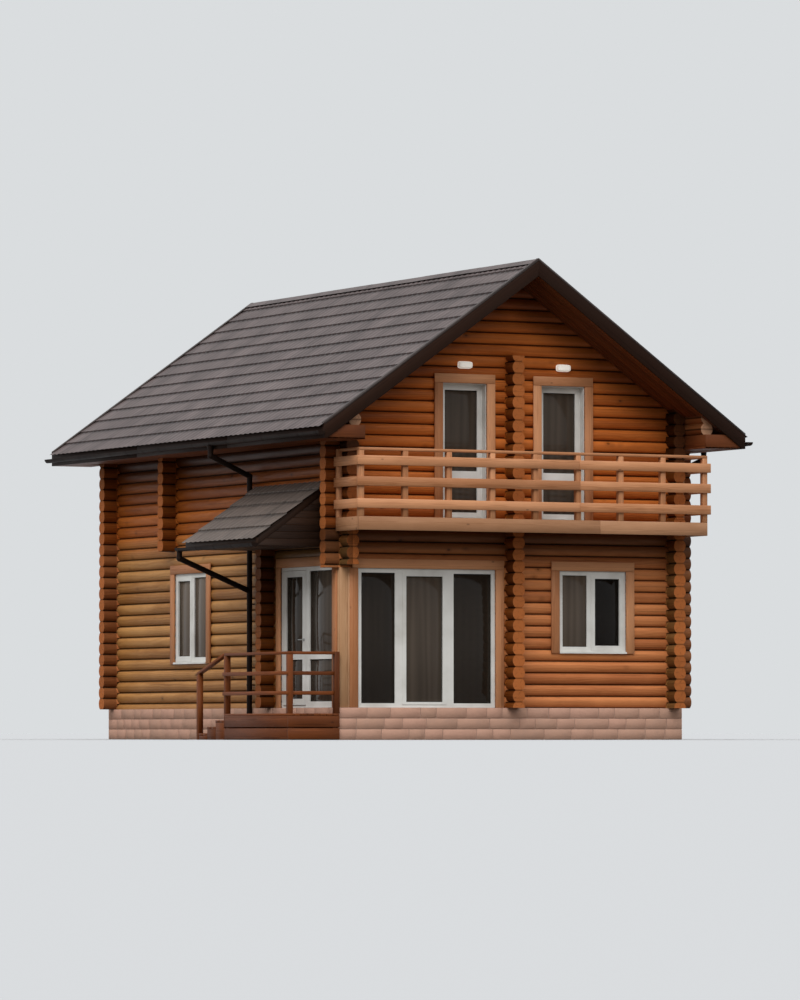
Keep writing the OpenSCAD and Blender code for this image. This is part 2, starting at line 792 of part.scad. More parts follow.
// The stepped sheet of metal tiles on a slope: its lower edge at x0, its upper at x1,
// with the boarding's top at height z0 under the lower edge.
module tile_profile(x0, x1, z0) {
    run = (x1 - x0) / cos(pitch);
    steps = ceil(run / tile_step);
    intersection() {
        translate([x0, z0 + seat]) rotate(pitch)
            polygon(concat([[0, 0]],
                [for (i = [0:steps - 1], top = [1, 0])
                    [(i + 1 - top) * tile_step, tile_t + top * tile_rise]],
                [[steps * tile_step, 0]]));
        translate([x0 - tile_step, 0]) square([x1 - x0 + tile_step, big]);
    }
}

module roof_tiles_left() {
    color(tile_grey) along_y(-verge_out, house_d + verge_out)
        tile_profile(-hw - eave_out, -0.5, roof_z(hw + eave_out));
}

module roof_tiles_right() { mirror([1, 0, 0]) roof_tiles_left(); }

module ridge_cap() {
    up = (tile_t + tile_rise + 1) / cos(pitch);
    top = up + ridge_cap_t / cos(pitch);
    x = ridge_cap_w * cos(pitch);
    color(tile_grey) along_y(-verge_out, house_d + verge_out)
        polygon([[-x, roof_z(x) + up], [0, roof_z(0) + up], [x, roof_z(x) + up],
                 [x, roof_z(x) + top], [0, roof_z(0) + top], [-x, roof_z(x) + top]]);
}

// The chevron of a pair of bargeboards, with its feet cut level.
module bargeboards() {
    x = eave_x + barge_t;
    foot = (ridge_h + barge_up - barge_v - soffit_z) / slope;
    color(brown) for (y = [-verge_out - barge_t, house_d + verge_out])
        along_y(y, y + barge_t)
            polygon([[0, ridge_h + barge_up], [x, roof_z(x) + barge_up], [x, soffit_z],
                     [foot, soffit_z], [0, ridge_h + barge_up - barge_v], [-foot, soffit_z],
                     [-x, soffit_z], [-x, roof_z(x) + barge_up]]);
}

module eave_fascias() {
    color(brown) for (s = [0, 1]) mirror([s, 0, 0])
        box([eave_x, -verge_out, soffit_z],
            [eave_x + barge_t, house_d + verge_out, roof_z(eave_x + barge_t) - 1]);
}

// Level boards under the eaves, let in round the corner log ends, with a closing
// board at each end below the plate logs.
module soffits() {
    color(brown) for (s = [0, 1]) mirror([s, 0, 0]) {
        difference() {
            box([wall_out + 2, -verge_out, soffit_z], [eave_x, house_d + verge_out, soffit_z + soffit_t]);
            for (y = [0, house_d])
                translate([hw, y, soffit_z])
                    cube([2 * (log_tip + notch_gap), 2 * notch_half, 4 * soffit_t], center = true);
        }
        for (y = [-verge_out, house_d + verge_out - soffit_t])
            along_y(y, y + soffit_t) intersection() {
                translate([wall_out + 2, soffit_z]) square([eave_x - wall_out - 2, plate_z - soffit_z]);
                polygon([[0, 0], [0, deck_under], [big, deck_under - slope * big]]);
            }
    }
}

// Two logs along each eave, on the ends of the front and rear walls' logs.
module eave_plates() {
    color(wood) for (s = [0, 1]) mirror([s, 0, 0]) intersection() {
        along_y(-plate_tip, house_d + plate_tip) translate([plate_x, 0]) intersection() {
            union() {
                for (k = [0.5, 1.5]) translate([0, plate_z + k * course_h]) circle(r = log_r);
            }
            translate([-log_d, plate_z]) square([2 * log_d, 2 * course_h]);
        }
        along_y(-2 * verge_out, house_d + 2 * verge_out)
            polygon([[0, 0], [0, deck_under - 0.3], [big, deck_under - 0.3 - slope * big]]);
    }
}

// Rainwater

// A half-round gutter along Y with closed ends, its middle at x and its rim at z.
module gutter(x, z, y0, y1) {
    translate([x, 0, z]) difference() {
        along_y(y0, y1) intersection() {
            circle(r = gutter_r);
            translate([-gutter_r, -gutter_r]) square([2 * gutter_r, gutter_r]);
        }
        along_y(y0 + gutter_t, y1 - gutter_t) circle(r = gutter_r - gutter_t);
    }
}

module gutters() {
    color(brown) {
        for (s = [0, 1]) mirror([s, 0, 0])
            gutter(gutter_x, gutter_z, -verge_out - gutter_end, house_d + verge_out + gutter_end);
        gutter(-canopy_gutter_x, canopy_gutter_z, canopy_y0 - gutter_end, pipe_y_left + gutter_r);
    }
}

// A straight round bar from a to b.
module rod(a, b, r) {
    d = b - a;
    translate(a) rotate([0, acos(d[2] / norm(d)), atan2(d[1], d[0])])
        cylinder(r = r, h = norm(d));
}

// A pipe along a list of points, with a collar at each bend.
module pipe_run(points) {
    for (i = [1:len(points) - 1]) rod(points[i - 1], points[i], pipe_r);
    for (i = [1:len(points) - 2]) translate(points[i]) sphere(r = pipe_r + collar);
}

// A downpipe from the main gutter to the foot of the wall, held by clips at heights.
module downpipe(y, clip_zs) {
    pipe_run([[-gutter_x, y, gutter_z - gutter_r - seat], [-gutter_x, y, soffit_z - bend_drop],
              [pipe_x, y, soffit_z - bend_drop - (gutter_x + pipe_x) * neck_slope],
              [pipe_x, y, pipe_foot]]);
    for (z = clip_zs)
        translate([pipe_x, y, z]) {
            cylinder(r = pipe_r + collar, h = clip_w);
            translate([0, -clip_w / 2, clip_w / 6])
                cube([pipe_gap + pipe_r - seat, clip_w, clip_w * 2 / 3]);
        }
}

module downpipe_left() {
    outlet = [-canopy_gutter_x, pipe_y_left, canopy_gutter_z - gutter_r - seat];
    bend = outlet - [0, 0, bend_drop];
    color(brown) {
        downpipe(pipe_y_left, clip_heights);
        rod(outlet, bend, pipe_r);
        translate(bend) sphere(r = pipe_r + collar);
        rod(bend, [pipe_x, pipe_y_left, bend[2] - drain_fall], pipe_r);
    }
}

module downpipe_right() {
    color(brown) mirror([1, 0, 0]) downpipe(pipe_y_right, clip_heights);
}

// Canopy over the porch

module canopy_frame() {
    x0 = -hw - canopy_out + tile_drip;
    x1 = -wall_out - 1;
    z0 = canopy_eave_h;
    z1 = z0 + slope * (x1 - x0);
    color(brown) {
        along_y(canopy_y0, canopy_y1)
            polygon([[x0, z0], [x1, z1], [x1, z1 - canopy_v], [x0, canopy_low]]);
        for (y = [canopy_y0, canopy_y1 - barge_t])
            along_y(y, y + barge_t)
                polygon([[x0, canopy_low], [x0, z0 - cheek_in], [x1, z1 - cheek_in],
                         [x1, canopy_low]]);
        box([x0, canopy_y0, canopy_low - soffit_t], [x1, canopy_y1, canopy_low]);
        box([x0 - barge_t, canopy_y0, canopy_low - soffit_t],
            [x0, canopy_y1, z0 - slope * barge_t - 1]);
    }
}

module canopy_tiles() {
    color(tile_grey) along_y(canopy_y0 - canopy_verge, canopy_y1 + canopy_verge)
        tile_profile(-hw - canopy_out, -wall_out - 1, canopy_eave_h - slope * tile_drip);
}

// Balcony

module balcony_beams() {
    color(pine) {
        box([-balcony_half - post_w / 2, balcony_front, deck_z - edge_beam_h],
            [balcony_half + post_w / 2, balcony_front + edge_beam_t, deck_z]);
        for (s = [0, 1]) mirror([s, 0, 0])
            box([balcony_half + post_w / 2 - edge_beam_t, balcony_front + edge_beam_t,
                 deck_z - edge_beam_h],
                [balcony_half + post_w / 2, -notch_half, deck_z]);
    }
}

module balcony_deck() {
    x = balcony_half + post_w / 2 - edge_beam_t;
    color(pine) difference() {
        box([-x, balcony_front + edge_beam_t, deck_z - board_t], [x, -notch_half, deck_z]);
        for (s = [-hw, hw]) translate([s, -log_tip / 2 - log_r, deck_z])
            cube([2 * notch_half, log_tip + 4, 4 * board_t], center = true);
    }
}

// A run of railing along X: posts on the deck with boards outside them, which run past
// the end posts by board_past, and a flat rail on top.
module railing(x0, x1, posts, base_z, top_h, post, cap, heights, board_h, board_t, board_past) {
    gap = (x1 - x0) / (posts - 1);
    for (i = [0:posts - 1])
        translate([x0 + i * gap - post / 2, 0, base_z]) cube([post, post, top_h - cap]);
    translate([x0 - post / 2, 0, base_z + top_h - cap]) cube([x1 - x0 + post, post, cap]);
    for (h = heights)
        translate([x0 - post / 2 - board_past, -board_t, base_z + h])
            cube([x1 - x0 + post + 2 * board_past, board_t, board_h]);
}

balcony_heights = [0.12, 0.44, 0.745];

module balcony_front_rail() {
    color(pine) translate([0, balcony_front, 0])
        railing(-balcony_half, balcony_half, balcony_posts, deck_z, balcony_rail_h, post_w, cap_t,
                [for (h = balcony_heights) h * balcony_rail_h], rail_h, rail_t, rail_past);
}

// The returns from the corner posts to the wall: boards outside the posts, a post that
// stands in the corner beside the log ends, and a flat rail.
module balcony_end_rails() {
    x0 = wall_out + seat;
    x1 = balcony_half + post_w / 2;
    y1 = -notch_half;
    top = deck_z + balcony_rail_h;
    color(pine) for (s = [0, 1]) mirror([s, 0, 0]) {
        for (k = balcony_heights)
            box([x1, balcony_front + seat, deck_z + k * balcony_rail_h],
                [x1 + rail_t, y1, deck_z + k * balcony_rail_h + rail_h]);
        box([x0, y1 - post_w, deck_z], [x1, y1, top]);
        box([x0, balcony_front + post_w + seat, top - cap_t], [x1, y1, top]);
    }
}

// Porch

module porch_deck() {
    x0 = -hw - porch_out;
    x1 = -hw - plinth_out - 1;
    color(porch_brown) difference() {
        box([x0, -porch_y0, 0], [x1, porch_y1, porch_h]);
        box([x0 + board_t, -porch_y0 + board_t, -1],
            [x1 - board_t, porch_y1 - board_t, porch_h - board_t]);
    }
}

module porch_steps() {
    x0 = -hw - porch_out;
    x1 = -hw - plinth_out - 1;
    rise = porch_h / (tread_n + 1);
    color(porch_brown) for (i = [1:tread_n])
        box([x0, porch_y1 + (i - 1) * tread_d + 0.3, 0],
            [x1, porch_y1 + i * tread_d, porch_h - i * rise]);
}

porch_heights = [0.30, 0.62];

module porch_outer_rail() {
    color(porch_brown) translate([-hw - porch_out + porch_post / 2, 0, 0]) rotate([0, 0, -90])
        translate([0, -porch_post / 2, 0])
        railing(-porch_y1 + porch_post / 2, porch_y0 - porch_post / 2, 2, porch_h, porch_rail_h,
                porch_post, cap_t, [for (h = porch_heights) h * porch_rail_h], porch_board_h,
                porch_board_t, 0);
}

module porch_front_rail() {
    x0 = -hw - porch_out + porch_post + 1;
    x1 = -hw - plinth_out - porch_post - seat;
    color(porch_brown) {
        box([x1, -porch_y0, porch_h], [x1 + porch_post, -porch_y0 + porch_post,
                                      porch_h + porch_rail_h]);
        box([x0, -porch_y0, porch_h + porch_rail_h - cap_t],
            [x1, -porch_y0 + porch_post, porch_h + porch_rail_h]);
        for (h = porch_heights)
            box([x0, -porch_y0 + (porch_post - porch_board_t) / 2, porch_h + h * porch_rail_h],
                [x1, -porch_y0 + (porch_post + porch_board_t) / 2,
                 porch_h + h * porch_rail_h + porch_board_h]);
    }
}

module porch_stair_rail() {
    x0 = -hw - porch_out;
    y0 = porch_y1 + seat;
    y1 = porch_y1 + tread_n * tread_d + seat;
    top = porch_h + porch_rail_h - cap_t;
    end = newel_h - (top - newel_h) / (y1 - y0) * porch_post;
    color(porch_brown) {
        box([x0, y1, 0], [x0 + porch_post, y1 + porch_post, newel_h]);
        translate([x0, 0, 0]) rotate([90, 0, 90]) linear_extrude(porch_post)
            polygon([[y0, top], [y0, top + cap_t], [y1 + porch_post, end + cap_t],
                     [y1 + porch_post, end]]);
    }
}

// Lamps over the balcony doors: a rounded box on the logs.
module wall_lamps() {
    flat = lamp_w - lamp_d;
    color("white") for (x = balcony_door_xs)
        translate([x, -log_r - seat, deck_z + lamp_h]) rotate([90, 0, 0]) linear_extrude(lamp_out) {
            square([flat, lamp_d], center = true);
            for (s = [-1, 1]) translate([s * flat / 2, 0]) circle(r = lamp_d / 2);
        }
}

plinth();
ground_floor();
floor_joists();
upper_floor();
front_wall_lower();
front_wall_upper();
left_wall_lower();
left_wall_over_door();
left_wall_upper();
right_wall_lower();
right_wall_upper();
rear_wall_lower();
rear_wall_upper();
cross_wall_ends();
corner_pier();
front_windows();
side_windows();
rear_windows();
balcony_doors();
window_glass();
entrance_frame();
entrance_door();
door_glass();
door_handle();
front_casings();
side_casings();
rear_casings();
eave_plates();
roof_deck_left();
roof_deck_right();
roof_tiles_left();
roof_tiles_right();
ridge_cap();
bargeboards();
eave_fascias();
soffits();
gutters();
downpipe_left();
downpipe_right();
canopy_frame();
canopy_tiles();
balcony_beams();
balcony_deck();
balcony_front_rail();
balcony_end_rails();
porch_deck();
porch_steps();
porch_outer_rail();
porch_front_rail();
porch_stair_rail();
wall_lamps();
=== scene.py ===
"""Finishes and fine pieces of a two-storey log lake house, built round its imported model.

Everything is in metres in the model's own frame: X to the right, Y to the rear, Z up, with
the front wall's centreline at Y = 0 and the ground at Z = 0.
"""

import logging
import math
from dataclasses import dataclass
from enum import Enum, IntEnum
from typing import Callable, Iterable, Optional, Sequence, Union

import bpy
import numpy as np
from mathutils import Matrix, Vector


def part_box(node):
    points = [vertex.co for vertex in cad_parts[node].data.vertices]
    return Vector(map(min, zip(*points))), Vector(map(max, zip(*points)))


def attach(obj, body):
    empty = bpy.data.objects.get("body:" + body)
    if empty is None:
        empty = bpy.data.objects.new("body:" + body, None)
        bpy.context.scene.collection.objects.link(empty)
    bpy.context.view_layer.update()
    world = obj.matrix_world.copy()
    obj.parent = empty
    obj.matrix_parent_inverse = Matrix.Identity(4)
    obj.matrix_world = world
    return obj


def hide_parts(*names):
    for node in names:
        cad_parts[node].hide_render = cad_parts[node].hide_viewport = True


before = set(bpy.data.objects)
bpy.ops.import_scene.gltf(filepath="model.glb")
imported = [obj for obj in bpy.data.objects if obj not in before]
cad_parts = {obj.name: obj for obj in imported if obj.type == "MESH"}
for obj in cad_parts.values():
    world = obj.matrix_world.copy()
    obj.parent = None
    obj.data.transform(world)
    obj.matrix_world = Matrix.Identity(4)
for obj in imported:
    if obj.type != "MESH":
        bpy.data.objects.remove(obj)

LOG = logging.getLogger("log_house")
HOUSE_BODY = "house"
DOOR_BODY = "door"
Colour = tuple[float, float, float]
Number = Union[float, "Sock"]
Paint = Union["Sock", Colour]
Span = tuple[Union[float, np.ndarray], Union[float, np.ndarray]]


def srgb(red: float, green: float, blue: float) -> Colour:
    """Turns a screen colour, 0 to 255 a part, into the linear colour that shaders use."""
    return tuple(((part / 255 + 0.055) / 1.055) ** 2.4 for part in (red, green, blue))


class Axis(IntEnum):
    """The three directions of the frame."""

    X = 0
    Y = 1
    Z = 2


X, Y, Z = Axis


@dataclass(frozen=True)
class Box:
    """Lowest and highest corner of a node or of one of its solids."""

    low: np.ndarray
    high: np.ndarray

    @classmethod
    def of(cls, node: str) -> "Box":
        """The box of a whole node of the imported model."""
        low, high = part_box(node)
        return cls(np.array(low), np.array(high))

    @property
    def size(self) -> np.ndarray:
        """Extent along the three axes."""
        return self.high - self.low

    @property
    def middle(self) -> np.ndarray:
        """Middle of the box."""
        return (self.low + self.high) / 2

    def ends(self, axis: int, width: float) -> tuple[Span, Span]:
        """Spans of one width at the low and the high end of an axis."""
        low, high = self.low[axis], self.high[axis]
        return (low, low + width), (high - width, high)


def solids(node: str) -> list[Box]:
    """Boxes of the separate solids of a node.

    Corners at one place count as one, and each triangle spreads the lowest label among its
    corners until nothing changes, so every solid ends with a label of its own.

    Args:
        node: Name of the node.

    Returns:
        One box for each solid, in a fixed order.
    """
    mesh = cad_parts[node].data
    points = np.empty(len(mesh.vertices) * 3, np.float32)
    mesh.vertices.foreach_get("co", points)
    points = points.reshape(-1, 3).astype(float)
    corners = np.empty(len(mesh.loops), np.int32)
    mesh.loops.foreach_get("vertex_index", corners)
    keys = np.unique(np.round(points, 4), axis=0, return_inverse=True)[1].ravel()
    faces = keys[corners].reshape(-1, 3)
    label = np.arange(keys.max() + 1)
    settled = False
    while not settled:
        new = label.copy()
        np.minimum.at(new, faces.ravel(), np.repeat(label[faces].min(1), 3))
        new = new[new]
        settled = bool((new == label).all())
        label = new
    groups = label[keys]
    found = [points[groups == g] for g in np.unique(groups)]
    return sorted((Box(p.min(0), p.max(0)) for p in found), key=lambda b: tuple(b.low))


def strips(start: float, end: float, count: int, gap: float) -> Span:
    """Lowest and highest places of even strips, each less a gap at its high side."""
    cuts = np.linspace(start, end, count + 1)
    return cuts[:-1], cuts[1:] - gap


def sided(side: int, near: float, far: float) -> Span:
    """Two distances from the middle as a rising span on one side of the house."""
    return tuple(sorted((side * near, side * far)))


def levels(box: Box, shares: Sequence[float], height: float) -> list[Span]:
    """Spans in Z of boards whose feet lie at shares of a railing's height."""
    feet = [box.low[Z] + share * box.size[Z] for share in shares]
    return [(foot, foot + height) for foot in feet]


@dataclass(frozen=True)
class House:
    """Sizes that the pieces share. Those without a default are read from the frame."""

    half: float
    depth: float
    plinth: float
    storey: float
    ridge: float
    deck_thick: float
    eave_z: float
    porch_end: float
    canopy_z: float
    course: float = 0.190
    log_r: float = 0.110
    pitch: float = math.radians(35.4)
    fit: float = 0.002

    @classmethod
    def from_frame(cls) -> "House":
        """Reads the sizes from the boxes of the walls, the roof and the porch.

        Returns:
            The house's sizes.
        """
        front, roof, canopy = map(Box.of, ("front_wall_lower", "roof_deck_right", "canopy_frame"))
        left, right = Box.of("left_wall_lower"), Box.of("right_wall_lower")
        return cls(
            half=float((right.middle[X] - left.middle[X]) / 2),
            depth=float(Box.of("rear_wall_lower").middle[Y]),
            plinth=float(front.low[Z]),
            storey=float(front.high[Z]),
            ridge=float(roof.high[Z]),
            deck_thick=float(roof.size[Z] - math.tan(cls.pitch) * roof.high[X]),
            eave_z=float(Box.of("soffits").low[Z]),
            porch_end=float(canopy.high[Y]),
            canopy_z=float(canopy.low[Z]),
        )

    @property
    def slope(self) -> float:
        """Rise of the roof for each metre across."""
        return math.tan(self.pitch)

    @property
    def wall_out(self) -> float:
        """Distance from the middle to the outside of the side walls."""
        return self.half + self.log_r

    def roof_z(self, x: Union[float, np.ndarray]) -> Union[float, np.ndarray]:
        """Height of the boarding's top at a distance from the ridge."""
        return self.ridge - self.slope * np.abs(x)


def _operator(operation: str, swapped: bool = False) -> Callable[..., "Sock"]:
    """Makes a method that adds one Math node.

    Args:
        operation: The node's operation.
        swapped: Whether the other value comes first.

    Returns:
        The method, which takes at most one other value.
    """
    def method(self: "Sock", *other: Number) -> "Sock":
        """Adds the Math node.

        Args:
            other: The other value, where the operation takes one.

        Returns:
            The node's result.
        """
        values = (*other, self) if swapped else (self, *other)
        return self.shader.node("ShaderNodeMath", {"operation": operation},
                                dict(enumerate(values)))

    return method


class Sock:
    """A shader socket on which operators and a few named methods add Math nodes."""

    __add__ = __radd__ = _operator("ADD")
    __sub__ = _operator("SUBTRACT")
    __rsub__ = _operator("SUBTRACT", swapped=True)
    __mul__ = __rmul__ = _operator("MULTIPLY")
    __truediv__ = _operator("DIVIDE")
    __lt__ = _operator("LESS_THAN")
    __gt__ = _operator("GREATER_THAN")
    __abs__ = _operator("ABSOLUTE")
    floor = _operator("FLOOR")
    sine = _operator("SINE")
    root = _operator("SQRT")
    power = _operator("POWER")
    most = _operator("MAXIMUM")
    angle = _operator("ARCTAN2")

    def __init__(self, shader: "Shader", link: Optional[bpy.types.NodeSocket]) -> None:
        """Wraps an output socket of a shader's tree."""
        self.shader = shader
        self.link = link

    def step(self, start: float, end: float, low: float = 0.0, high: float = 1.0) -> "Sock":
        """Smooth step: low up to start, high from end on.

        Args:
            start: Value at which the step begins.
            end: Value at which it ends, which may lie below start.
            low: Result before the step.
            high: Result after the step.

        Returns:
            The stepped value.
        """
        if end < start:
            start, end, low, high = end, start, high, low
        values = {"Value": self, "From Min": start, "From Max": end, "To Min": low, "To Max": high}
        return self.shader.node("ShaderNodeMapRange", {"interpolation_type": "SMOOTHSTEP"}, values)

    def wave(self) -> "Sock":
        """Sine, moved to run from 0 to 1."""
        return self.sine() * 0.5 + 0.5


class Shader:
    """The node tree of a material or of the world, with one method that makes every node."""

    def __init__(self, name: str, world: Optional[bpy.types.World] = None) -> None:
        """Starts an empty tree.

        Args:
            name: Name of the new material.
            world: World that takes the tree in place of a new material.
        """
        self.owner = world or bpy.data.materials.new(name)
        self.owner.use_nodes = True
        self.tree = self.owner.node_tree
        self.tree.nodes.clear()

    def node(self, kind: str, settings: Optional[dict] = None, values: Optional[dict] = None,
             out: Union[int, str] = 0) -> Sock:
        """Makes a node, sets its settings and then fills its input sockets.

        Args:
            kind: Type name of the node.
            settings: Attributes of the node.
            values: Numbers, colours or sockets by the input's name or number.
            out: Name or number of the output that is returned.

        Returns:
            The output, which is empty on a node that ends the tree.
        """
        made = self.tree.nodes.new(kind)
        for key, value in (settings or {}).items():
            setattr(made, key, value)
        for key, value in (values or {}).items():
            if isinstance(value, Sock):
                self.tree.links.new(value.link, made.inputs[key])
            elif isinstance(value, tuple) and len(made.inputs[key].default_value) == 4:
                made.inputs[key].default_value = (*value, 1.0)
            else:
                made.inputs[key].default_value = value
        return Sock(self, made.outputs[out] if made.outputs else None)

    def split(self, vector: Sock) -> list[Sock]:
        """The three parts of a vector."""
        first = self.node("ShaderNodeSeparateXYZ", None, {0: vector})
        return [Sock(self, part) for part in first.link.node.outputs]

    def join(self, x: Number, y: Number, z: Number) -> Sock:
        """A vector from its three parts."""
        return self.node("ShaderNodeCombineXYZ", None, {X: x, Y: y, Z: z})

    def coordinates(self, kind: str = "Object") -> Sock:
        """The point in the piece's own coordinates, which are the frame's, or another kind."""
        return self.node("ShaderNodeTexCoord", None, None, kind)

    def attribute(self, name: str, out: str = "Fac") -> Sock:
        """An attribute of the piece's points."""
        return self.node("ShaderNodeAttribute", {"attribute_name": name}, None, out)

    def noise(self, vector: Sock, scale: float = 1.0, detail: float = 2.0) -> Sock:
        """Smooth noise between 0 and 1 at a point."""
        return self.node(
            "ShaderNodeTexNoise", None, {"Vector": vector, "Scale": scale, "Detail": detail})

    def noise_at(self, x: Number, y: Number, z: Number, detail: float) -> Sock:
        """Smooth noise between 0 and 1 at a point given by its parts."""
        return self.noise(self.join(x, y, z), 1.0, detail)

    def dice(self, x: Number, y: Number = 0.0, z: Number = 0.0) -> list[Sock]:
        """Three random numbers from 0 to 1 for each different point."""
        return self.split(self.node("ShaderNodeTexWhiteNoise", {"noise_dimensions": "3D"},
                                    {"Vector": self.join(x, y, z)}, "Color"))

    def cells(self, x: Number, y: Number, z: Number) -> Sock:
        """Distance to the nearest of a scatter of points, one to each unit cell."""
        values = {"Vector": self.join(x, y, z), "Scale": 1.0}
        return self.node("ShaderNodeTexVoronoi", None, values, "Distance")

    def mix(self, factor: Number, first: Paint, second: Paint) -> Sock:
        """Blends two colours: the first at 0, the second at 1."""
        return self.node(
            "ShaderNodeMix", {"data_type": "RGBA"}, {0: factor, 6: first, 7: second}, 2)

    def tint(self, colour: Paint, amount: Number) -> Sock:
        """Multiplies a colour by a number at each point."""
        return self.node(
            "ShaderNodeVectorMath", {"operation": "SCALE"}, {0: colour, "Scale": amount})

    def surface(self, colour: Sock, rough: Sock, sheen: float = 0.5,
                relief: Optional[tuple[Sock, float]] = None,
                **more: Union[Number, Colour]) -> bpy.types.Material:
        """Finishes the material with one Principled shader.

        Args:
            colour: Base colour.
            rough: Roughness.
            sheen: Specular level all over the surface.
            relief: Heights, and the metres that a height of 1 stands for.
            more: Other inputs by their names, with an underscore for each space.

        Returns:
            The finished material.
        """
        values = {"Base Color": colour, "Roughness": rough, "Specular IOR Level": sheen}
        if relief:
            height, depth = relief
            values["Normal"] = self.node(
                "ShaderNodeBump", None, {"Height": height, "Distance": depth})
        values.update({key.replace("_", " ").title(): value for key, value in more.items()})
        shader = self.node("ShaderNodeBsdfPrincipled", None, values)
        self.node("ShaderNodeOutputMaterial", None, {"Surface": shader})
        return self.owner


MATERIALS: dict[str, bpy.types.Material] = {}


@dataclass(frozen=True)
class Finish:
    """A finish between a light and a deep colour, kept in MATERIALS under its name."""

    name: str
    light: Colour
    deep: Colour

    def build(self) -> bpy.types.Material:
        """Builds the material."""
        raise NotImplementedError

    def keep(self) -> None:
        """Builds the material and keeps it for the pieces that ask for it by its name."""
        MATERIALS[self.name] = self.build()


class Run(Enum):
    """The ways that the logs of a node lie."""

    ALONG_X = "front and rear walls"
    ALONG_Y = "side walls"
    CROSSING = "ends of the cross walls, along Y near the middle and along X elsewhere"
    PLATES = "eave plates"


class Cover(Enum):
    """What casts shade on the top of a wall, where shade is painted into the logs' colour."""

    NONE = "nothing"
    BALCONY = "the balcony"
    EAVE = "the eaves"
    GABLE = "the roof over a gable"
    CANOPY = "the porch canopy"


